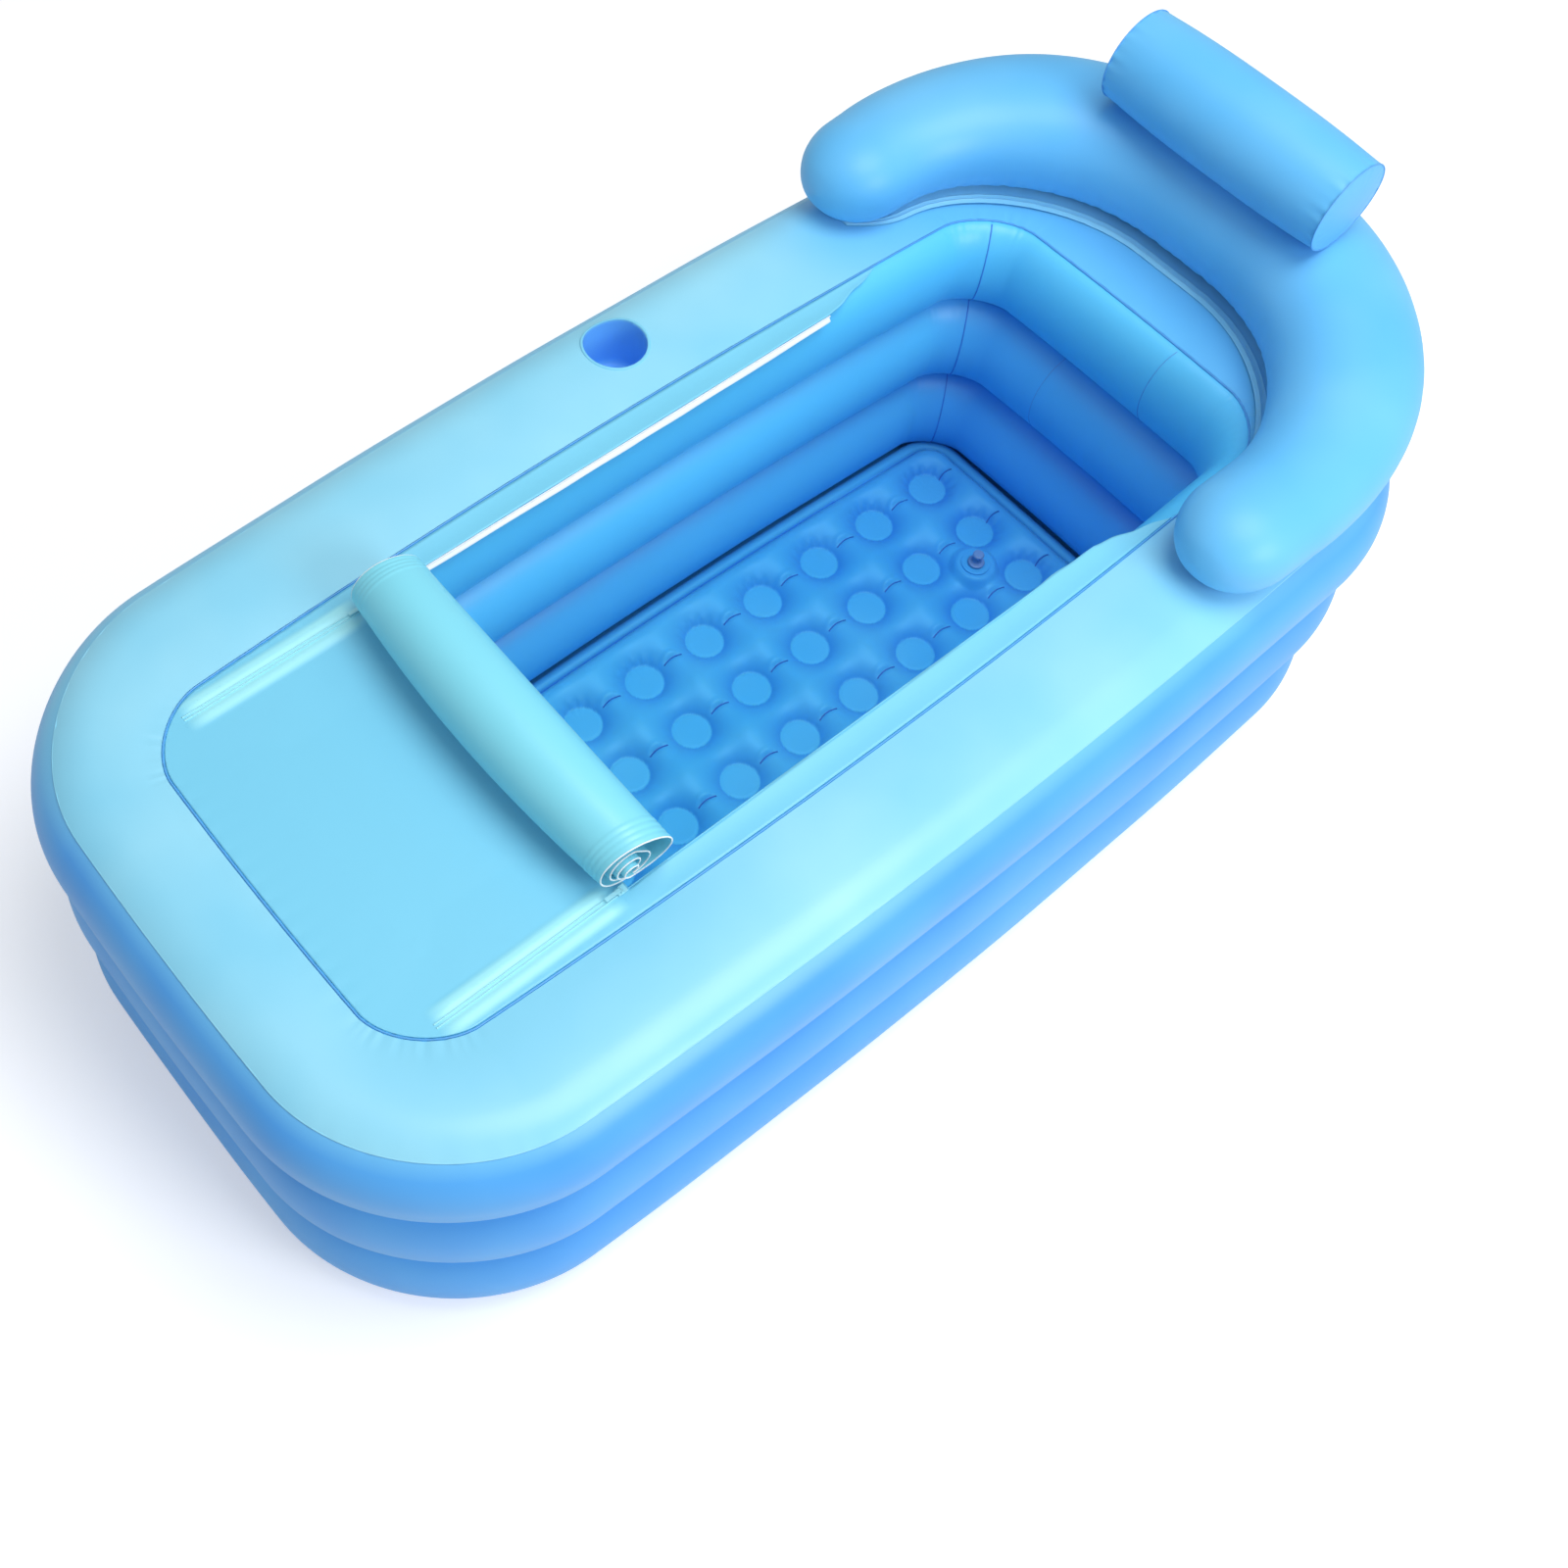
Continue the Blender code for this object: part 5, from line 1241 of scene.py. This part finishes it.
    def depth_inside(self, x, y, edge):
        flat = np.c_[x.ravel(), y.ravel()]
        coarse = edge[::4]
        best = np.full(len(flat), 9.0)
        for spot in coarse:
            best = np.minimum(best, np.hypot(flat[:, 0] - spot[0], flat[:, 1] - spot[1]))
        return best.reshape(x.shape)

    def side_line(self, edge, side):
        line = edge[(edge[:, 1] * side > 0.15) & (np.abs(edge[:, 0]) < 0.6)]
        line = line[np.argsort(line[:, 0])]
        return line[:, 0], np.abs(line[:, 1])

    def build(self, pieces):
        verts, faces, shares = [], [], []
        for grid, tape in pieces:
            start = len(verts)
            verts += grid.reshape(-1, 3).tolist()
            shares += tape.ravel().tolist()
            faces += [[start + k for k in face] for face in grid_faces(*grid.shape[:2], False, False)]
        mesh = bpy.data.meshes.new("cover_film")
        mesh.from_pydata(verts, [], faces)
        paint(mesh, "tape", shares)
        mended(mesh, merge=2e-5, upwards=True)
        sheet = finish_piece("cover_film", mesh, "cover", ["cover_sheet"])
        wall = sheet.modifiers.new("film", "SOLIDIFY")
        wall.thickness = 0.0008
        wall.offset = -1.0


class ZipsOperator(bpy.types.Operator):
    """Make the teeth of the four zip halves, and give the sliders and pulls their finish"""
    bl_idname = "tub.zips"
    bl_label = "Zips"

    def execute(self, context):
        c = context.scene.tub_cover
        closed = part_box("zip_far_cover")[1].x
        for node in ("zip_far_fixed", "zip_near_fixed", "zip_far_cover", "zip_near_cover"):
            low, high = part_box(node)
            self.coil(c, node + "_teeth", node, low.x + 0.001, min(high.x, closed) - 0.001, "coil", [node])
            if high.x > closed + 0.01:
                # The near half is turned under its strip, so its white tape doesn't show
                far = low.y > 0
                finish = "zip" if far else "cover"
                self.coil(c, node + "_open_teeth", node, closed, high.x - 0.001, finish, [])
                if far:
                    self.tape(node, closed + 0.012, high.x - 0.002)
        for side in ("far", "near"):
            for kind in ("slider_", "pull_"):
                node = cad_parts[kind + side]
                for place in node.material_slots:
                    place.material = finishes()["coil"]
        return {"FINISHED"}

    def coil(self, c, name, node, start, end, finish, stands_for):
        """Teeth along one run of a zip half."""
        low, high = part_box(node)
        middle = (low + high) / 2
        points = np.array([(x, middle.y, middle.z) for x in np.linspace(start, end, 120)])
        size = (0.0009, (high.y - low.y) / 2, (high.z - low.z) / 2)
        mesh = tree_mesh(
            coil_tree(), path_object(name + "_path", points),
            {"Pitch": c.tooth_pitch, "Tooth": size, "Tape": 0.0008, "Finish": finishes()[finish]},
        )
        finish_piece(name, mesh, finish, stands_for)

    def tape(self, node, start, end):
        """The woven tape of an open zip half, which hangs a little way down into the bath."""
        low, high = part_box(node)
        side = 1 if low.y > 0 else -1
        edge = abs(low.y + high.y) / 2
        xs = np.linspace(start, end, 160)
        share = (xs - start) / (end - start)
        width = 0.0030 + 0.0022 * np.sin(share * math.pi) ** 0.5 + 0.0018 * share
        rows = []
        for k, across in enumerate(np.linspace(0, 1, 7)):
            y = edge - across * width * 0.75
            z = (low.z + high.z) / 2 - 0.0008 - across ** 1.4 * width * 0.8
            z = z + 0.0004 * across * np.sin(xs / 0.017 + 1.3 * np.sin(xs / 0.06))
            rows.append(np.c_[xs, side * y, z])
        top = np.array(rows)
        under = top[::-1].copy()
        under[:, :, 2] -= 0.0005
        mesh = grid_mesh(node + "_tape", np.concatenate([top, under], 0), wrap_rows=True)
        mended(mesh, close=True)
        finish_piece(node + "_tape", mesh, "zip")


class RollOperator(bpy.types.Operator):
    """Make the rolled cover with its hems, stitch lines and zip edge"""
    bl_idname = "tub.roll"
    bl_label = "Rolled cover"

    # Turns of the loose outer loop, and the turns over which it runs into the coil
    loose = 1.0
    run_in = 0.35
    # How much the loop closes over its turn, and where the coil lies in the room left in it
    closing = 0.0026
    coil_lies = (-0.75, -0.15)
    # How far the coil stands out at each end
    stands_out = 0.0130
    hem_width = 0.026
    hem_lines = (0.006, 0.012, 0.018, 0.024)

    def execute(self, context):
        c = context.scene.tub_cover
        low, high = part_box("cover_roll")
        half = (high.y - low.y) / 2
        centre_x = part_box("zip_far_cover")[1].x
        edge_rows = half - np.arange(0.0, 0.0285, 0.0011)
        middle_rows = np.linspace(edge_rows[-1] - 0.004, 0.004 - edge_rows[-1], 60)
        ys = np.r_[edge_rows, middle_rows, -edge_rows[::-1]]
        grid = []
        for y in ys:
            outer, inner = self.spiral(c, y, half)
            loop = np.vstack([outer, inner[::-1]])
            slide = self.slide(c, y, half)
            grid.append(np.c_[centre_x + loop[:, 0], np.r_[slide, slide[::-1]], loop[:, 1]])
        mesh = grid_mesh("rolled_cover", np.array(grid), wrap_cols=True, caps=True)
        roll = finish_piece("rolled_cover", mesh, "roll", ["cover_roll"])
        outer, _ = self.spiral(c, 0.0, half)
        for side, name in ((1, "far"), (-1, "near")):
            outer, inner = self.spiral(c, side * half, half)
            line = (outer + inner) / 2
            slide = self.slide(c, side * half, half) + side * 0.0004
            points = np.c_[centre_x + line[:, 0], slide, line[:, 1]]
            mesh = tree_mesh(coil_tree(), path_object("roll_edge_path", points), {
                "Pitch": 0.0026, "Tooth": (0.0009, 0.0010, 0.0010), "Tape": 0.0008,
                "Finish": finishes()["zip"],
            })
            finish_piece("roll_zip_edge_" + name, mesh, "zip")
        return {"FINISHED"}

    def slide(self, c, y, half):
        """Where each point of a section lies across the tub, as the turns have slid sideways."""
        turns = np.linspace(0, c.turns, round(c.turns * 60) + 1)
        upper = (1 + np.cos(math.tau * turns - math.radians(135))) ** 1.5
        moved = c.telescope * upper * np.clip(1.0 - turns / 1.6, 0.1, 1) * abs(y / half) ** 3
        # The tight coil stands out a little at each end
        out = self.stands_out * np.clip((turns - 1.1) / (c.turns - 1.1), 0, 1) * (y / half) ** 7
        return y - moved + out

    def spiral(self, c, y, half):
        """Outer and inner line of the sheet's section at a place across the tub.

        The first turn is a loose round loop, and the rest a coil that lies towards the foot side in it.
        """
        outside = c.end_radius + c.crown * (1 - (y / half) ** 2)
        turns = np.linspace(0, c.turns, round(c.turns * 60) + 1)
        angle = math.tau * turns
        tighten = np.clip((turns - self.loose) / self.run_in, 0, 1)
        tighten = tighten * tighten * (3 - 2 * tighten)
        loop = outside - self.closing * np.clip(turns, 0, self.loose)
        wind = np.clip((turns - self.loose - 0.1) / (c.turns - self.loose - 0.1), 0, 1)
        coil = c.coil + (c.core - c.coil) * wind
        radius = loop + (coil - loop) * tighten
        room = outside - 0.0045 - c.coil
        shift = room * tighten[:, None] * self.coil_lies
        # The hem: the sheet is welded double near its ends, with a few sewn lines
        from_end = half - abs(y)
        hem = 0.0005 * np.clip((self.hem_width - from_end) / 0.002, 0, 1)
        for row in self.hem_lines:
            hem -= 0.0005 * math.exp(-((from_end - row) / 0.0011) ** 2)
        radial = np.c_[np.sin(angle), -np.cos(angle)]
        outer = radial * radius[:, None] + shift
        inner = radial * (radius - c.sheet)[:, None] + shift
        outer[turns < 0.97] += radial[turns < 0.97] * hem
        ahead = c.ahead + c.skew * y / half + c.bow * (y / half) ** 2
        place = [ahead, COVER_TOP + GAP + outside]
        return outer + place, inner + place


def backrest_line(step):
    """The backrest's middle line from the far tip to the near tip, evenly spaced."""
    s, r = bpy.context.scene.tub_plan, bpy.context.scene.tub_rest
    bend = (s.width / 2 - r.inset) * r.bend_share
    bend_x = s.length / 2 - r.head_inset - bend
    bend_y = half_width_at(bend_x) - r.inset - bend
    xs = np.linspace(r.tip_x, bend_x, 40, endpoint=False)
    arm = np.c_[xs, half_width_at(xs) - r.inset]
    a = np.linspace(0, math.pi / 2, 60)
    arm = np.vstack([arm, np.c_[bend_x + bend * np.sin(a), bend_y + bend * np.cos(a)]])
    line = np.vstack([arm, arm[::-1] * [1, -1]])
    head = s.length / 2 - r.head_inset
    share = ((head - line[:, 0]) / (head - r.tip_x)) ** 2
    side = np.sign(line[:, 1])
    line[:, 0] += r.arm_skew * side * share
    line[:, 1] += r.side - r.arm_in * side * share
    lengths = np.r_[0, np.cumsum(np.linalg.norm(np.diff(line, axis=0), axis=1))]
    at = np.linspace(0, lengths[-1], round(lengths[-1] / step))
    spots = np.c_[np.interp(at, lengths, line[:, 0]), np.interp(at, lengths, line[:, 1])]
    along = np.gradient(spots, axis=0)
    for _ in range(3):
        along[1:-1] = (along[:-2] + 2 * along[1:-1] + along[2:]) / 4
    along /= np.linalg.norm(along, axis=1, keepdims=True)
    return spots, along, at


class BackrestOperator(bpy.types.Operator):
    """Make the horseshoe backrest and the welded hem along its inner foot"""
    bl_idname = "tub.backrest"
    bl_label = "Backrest"

    def execute(self, context):
        s, r = context.scene.tub_plan, context.scene.tub_rest
        spots, along, at = backrest_line(0.005)
        total = at[-1]
        floor = REST_BOTTOM
        start = r.tip_x + r.tip_length
        rise = np.clip((spots[:, 0] - start) / (s.length / 2 - r.head_inset - start), 0, 1)
        rise = rise * rise * (3 - 2 * rise)
        width = r.arm_width + (r.head_width - r.arm_width) * rise
        height = r.arm_height + (r.head_height - r.arm_height) * rise
        from_tip = np.clip(np.minimum(at, total - at) / r.tip_length, 0, 1)
        close = np.maximum(np.sqrt(1 - (1 - from_tip) ** 2), 0.02)
        sides = 56
        angle = math.tau * np.arange(sides) / sides
        across = np.c_[-along[:, 1], along[:, 0]]
        square = 0.94
        cos_a = np.sign(np.cos(angle)) * np.abs(np.cos(angle)) ** square
        sin_a = np.sign(np.sin(angle)) * np.abs(np.sin(angle)) ** square
        side = (width * close)[:, None] * cos_a[None, :]
        level = (floor + height - r.press)[:, None] + (height * close)[:, None] * sin_a[None, :]
        soft = 0.004
        level = floor + soft * np.log1p(np.exp(np.clip((level - floor) / soft, -40, 40)))
        level -= soft * np.log(2) * np.exp(-((level - floor) / 0.02))
        level = np.maximum(level, floor)
        grid = np.dstack([spots[:, :1] + side * across[:, :1], spots[:, 1:] + side * across[:, 1:], level])
        normal = grid_normals(grid, False, True)
        if np.sum(normal[:, 0, :2] * across) < 0:
            normal = -normal
        inner_foot = np.exp(-((np.degrees(angle) - 218) / 22) ** 2)
        outer_foot = np.exp(-((np.degrees(angle) - 322) / 18) ** 2)
        bend = np.clip(rise * 1.3, 0, 1)
        fine = uneven(at, (0.026, 0.037, 0.019), 31)
        crease = fine[:, None] * (inner_foot + 0.5 * outer_foot)[None, :] * (0.3 + 0.7 * bend)[:, None]
        slow = uneven(at, (0.30, 0.21), 41)[:, None] * 0.0007
        grid = grid + normal * (0.0010 * np.minimum(crease, 0.4) + slow * close[:, None])[:, :, None]
        grid[:, :, 2] = np.maximum(grid[:, :, 2], floor)
        mesh = grid_mesh("backrest_film", grid, wrap_cols=True, caps=True)
        rest = finish_piece("backrest_film", mesh, "rest", ["backrest"])
        self.hem(spots, along, at, width / r.arm_width)
        return {"FINISHED"}

    def hem(self, spots, along, at, wide):
        """A flat strip with two pressed lines that shows beside the foot of the backrest."""
        inward = np.c_[along[:, 1], -along[:, 0]]
        keep = (at > 0.035) & (at < at[-1] - 0.035)
        spots, inward, at, wide = spots[keep], inward[keep], at[keep], wide[keep]
        across = np.array([0.024, 0.050, 0.0530, 0.0545, 0.0560, 0.0590, 0.0605, 0.0620, 0.0640, 0.0650])
        tuck = np.clip((np.minimum(at - at[0], at[-1] - at)) / 0.075, 0, 1)
        tuck = 0.45 + 0.55 * tuck * (2 - tuck)
        across = across[None, :] * (tuck * wide)[:, None]
        lift = np.array([0, 0, 0, 0.0011, 0, 0, 0.0011, 0, 0, -0.0003])
        wave = 0.0004 * uneven(at, (0.045, 0.031), 51)
        top = HEM_BOTTOM + 0.0010
        x = spots[:, :1] + inward[:, :1] * across
        y = spots[:, 1:] + inward[:, 1:] * across
        z = top + lift[None, :] * 0.8 + wave[:, None] * (across > 0.05) - 0.0002
        upper = np.dstack([x, y, z])
        lower = upper[:, ::-1].copy()
        lower[:, :, 2] = HEM_BOTTOM
        mesh = grid_mesh("backrest_hem_strip", np.concatenate([upper, lower], 1), wrap_cols=True, caps=True)
        # Painted light: the strip takes the paler deck film, not the backrest's blue, to look lit under the
        # backrest's overhang
        finish_piece("backrest_hem_strip", mesh, "deck", ["backrest_hem"], sharp_deg=40)


class PillowOperator(bpy.types.Operator):
    """Make the round pillow with a seam round each end"""
    bl_idname = "tub.pillow"
    bl_label = "Round pillow"

    def execute(self, context):
        low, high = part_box("pillow")
        middle = (low + high) / 2
        r = context.scene.tub_rest
        source = linked("pillow_source", bpy.data.meshes.new("pillow_source"))
        mesh = tree_mesh(pillow_tree(), source, {
            "Length": high.y - low.y, "Middle radius": r.pillow_radius, "End radius": r.pillow_end,
            "Cap bulge": r.pillow_cap, "Finish": finishes()["rest"],
        })
        mesh.transform(Matrix.Translation(middle))
        mended(mesh)
        pillow = finish_piece("pillow_film", mesh, "rest", ["pillow"])
        angles = np.linspace(0, math.tau, 90, endpoint=False)
        for name, side in (("far", 1), ("near", -1)):
            node = "pillow_seam_" + name
            ring = r.pillow_end + 0.0004
            at = middle.y + side * ((high.y - low.y) / 2 - r.pillow_cap)
            points = np.c_[
                middle.x + ring * np.cos(angles), np.full(90, at), middle.z + ring * np.sin(angles)
            ]
            seam_line(node + "_line", points, 0.0008, True, "seam", [node])
        return {"FINISHED"}


class ValvesOperator(bpy.types.Operator):
    """Make the six air valves and their push-in stoppers"""
    bl_idname = "tub.valves"
    bl_label = "Air valves"

    def execute(self, context):
        for name in ("ring_lower", "ring_middle", "ring_upper", "floor", "backrest", "pillow"):
            upwards = name == "floor"
            place, base = self.frame_of(name + "_valve", upwards)
            flange = base + 0.0020
            body = rounded([
                (0.0045, base - 0.012), (0.0068, base - 0.012), (0.0070, base), (0.0150, base),
                (0.0150, base + 0.0010), (0.0135, flange - 0.0004), (0.0080, flange - 0.0002),
                (0.0076, flange), (0.0045, flange),
            ], 0.0005)
            mesh = turned_mesh(name + "_valve_moulding", body, 56, place)
            finish_piece(name + "_valve_moulding", mesh, "valve", [name + "_valve"])
            head = flange + GAP
            stopper = rounded([
                (0.0, head - 0.0090), (0.0034, head - 0.0090), (0.0041, head - 0.0060),
                (0.0038, head - 0.0045),
                (0.0041, head), (0.0090, head), (0.0090, head + 0.0012), (0.0074, head + 0.0018),
                (0.0034, head + 0.0018), (0.0030, head + 0.0025), (0.0, head + 0.0025),
            ], 0.0005)
            body = name + "_stopper"
            mesh = turned_mesh(body + "_moulding", stopper, 48, place)
            finish_piece(body + "_moulding", mesh, "valve", [body], body)
        return {"FINISHED"}

    def frame_of(self, node, upwards):
        """A placement with local Z out of the chamber, and where the flange's seat lies on it."""
        low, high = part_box(node)
        middle = (low + high) / 2
        if upwards:
            return Matrix.Translation((middle.x, middle.y, 0)), high.z - 0.0020
        place = Matrix.Translation((0, middle.y, middle.z)) @ Matrix.Rotation(math.pi / 2, 4, "Y")
        return place, high.x - 0.0020


class StageOperator(bpy.types.Operator):
    """Make the pale floor, the soft studio light and the camera"""
    bl_idname = "tub.stage"
    bl_label = "Stage"

    def execute(self, context):
        scene = context.scene
        bpy.ops.mesh.primitive_plane_add(size=30)
        ground = context.object
        ground.name = "studio_floor"
        ground.location = (0, 0, -0.0005)
        ground.data.materials.append(self.backdrop())
        world = bpy.data.worlds.new("white studio")
        world.use_nodes = True
        back = world.node_tree.nodes["Background"]
        seen = add_node(world.node_tree, "ShaderNodeLightPath")
        level = add_node(
            world.node_tree, "ShaderNodeMapRange", None, {"To Min": WORLD_LIGHT, "To Max": 1.0},
            {"Value": seen.outputs["Is Camera Ray"]},
        )
        world.node_tree.links.new(level.outputs["Result"], back.inputs["Strength"])
        back.inputs["Color"].default_value = (*linear("#FFFFFF"), 1)
        scene.world = world
        for name, spot, size, power in (
            ("overhead", (0.40, -0.6, 3.6), 2.2, 65.0),
            ("front", (0.3, -2.8, 2.1), 1.6, 41.0),
        ):
            data = bpy.data.lights.new(name, "AREA")
            data.shape = "DISK"
            data.size = size
            data.energy = power
            lamp = linked(name, data)
            lamp.location = spot
            lamp.rotation_euler = (Vector((0, 0, 0.3)) - Vector(spot)).to_track_quat("-Z", "Y").to_euler()
        self.camera(scene)
        scene.view_settings.view_transform = "Standard"
        return {"FINISHED"}

    def backdrop(self):
        """White paper floor that the camera sees as white, apart from the tub's shadow."""
        made, tree, shader = new_material("matt white paper")
        shader.inputs["Base Color"].default_value = (*linear("#F4F6F8"), 1)
        shader.inputs["Roughness"].default_value = 0.9
        shader.inputs["Specular IOR Level"].default_value = 0.1
        seen = add_node(tree, "ShaderNodeLightPath")
        lift = add_node(
            tree, "ShaderNodeMath", {"operation": "MULTIPLY"}, {1: FLOOR_LIFT},
            {0: seen.outputs["Is Camera Ray"]},
        )
        shader.inputs["Emission Color"].default_value = (*linear("#FFFFFF"), 1)
        tree.links.new(lift.outputs[0], shader.inputs["Emission Strength"])
        return made

    def camera(self, scene):
        """The photograph's camera, as fitted to the seams of the tub in a square frame."""
        data = bpy.data.cameras.new("camera")
        data.sensor_width = 36.0
        data.sensor_fit = "HORIZONTAL"
        data.lens = CAMERA_LENS
        data.shift_x, data.shift_y = CAMERA_SHIFT
        item = linked("camera", data)
        right, up, back = (Vector(axis) for axis in CAMERA_AXES)
        turn = Matrix((right, up, back)).transposed()
        item.matrix_world = Matrix.Translation(CAMERA_SPOT) @ turn.to_4x4()
        scene.camera = item


class TubPanel(bpy.types.Panel):
    """Lists the pieces of the bathtub and their sizes"""
    bl_idname = "VIEW3D_PT_bathtub"
    bl_label = "Inflatable bathtub"
    bl_space_type = "VIEW_3D"
    bl_region_type = "UI"
    bl_category = "Bathtub"

    def draw(self, context):
        layout = self.layout
        for group in GROUPS:
            settings = getattr(context.scene, group)
            box = layout.box()
            box.label(text=settings.bl_rna.name)
            for name in settings.__annotations__:
                box.prop(settings, name)
        for operator in OPERATORS:
            layout.operator(operator.bl_idname)


GROUPS = {
    "tub_plan": TubPlan, "tub_floor": TubFloor, "tub_cover": TubCover, "tub_rest": TubRest,
    "tub_colours": TubColours,
}
OPERATORS = [
    RingsOperator, DeckOperator, BaseOperator, FloorOperator, DrainOperator, CoverOperator, ZipsOperator,
    RollOperator, BackrestOperator, PillowOperator, ValvesOperator, StageOperator,
]


def register():
    for kind in [*GROUPS.values(), *OPERATORS, TubPanel]:
        bpy.utils.register_class(kind)
    for name, kind in GROUPS.items():
        setattr(bpy.types.Scene, name, PointerProperty(type=kind))


def unregister():
    for name in GROUPS:
        delattr(bpy.types.Scene, name)
    for kind in [TubPanel, *reversed(OPERATORS), *reversed(GROUPS.values())]:
        bpy.utils.unregister_class(kind)


def main():
    register()
    bpy.ops.tub.rings()
    bpy.ops.tub.deck()
    bpy.ops.tub.base()
    bpy.ops.tub.floor()
    bpy.ops.tub.drain()
    bpy.ops.tub.cover()
    bpy.ops.tub.zips()
    bpy.ops.tub.roll()
    bpy.ops.tub.backrest()
    bpy.ops.tub.pillow()
    bpy.ops.tub.valves()
    bpy.ops.tub.stage()


if __name__ == "__main__":
    main()
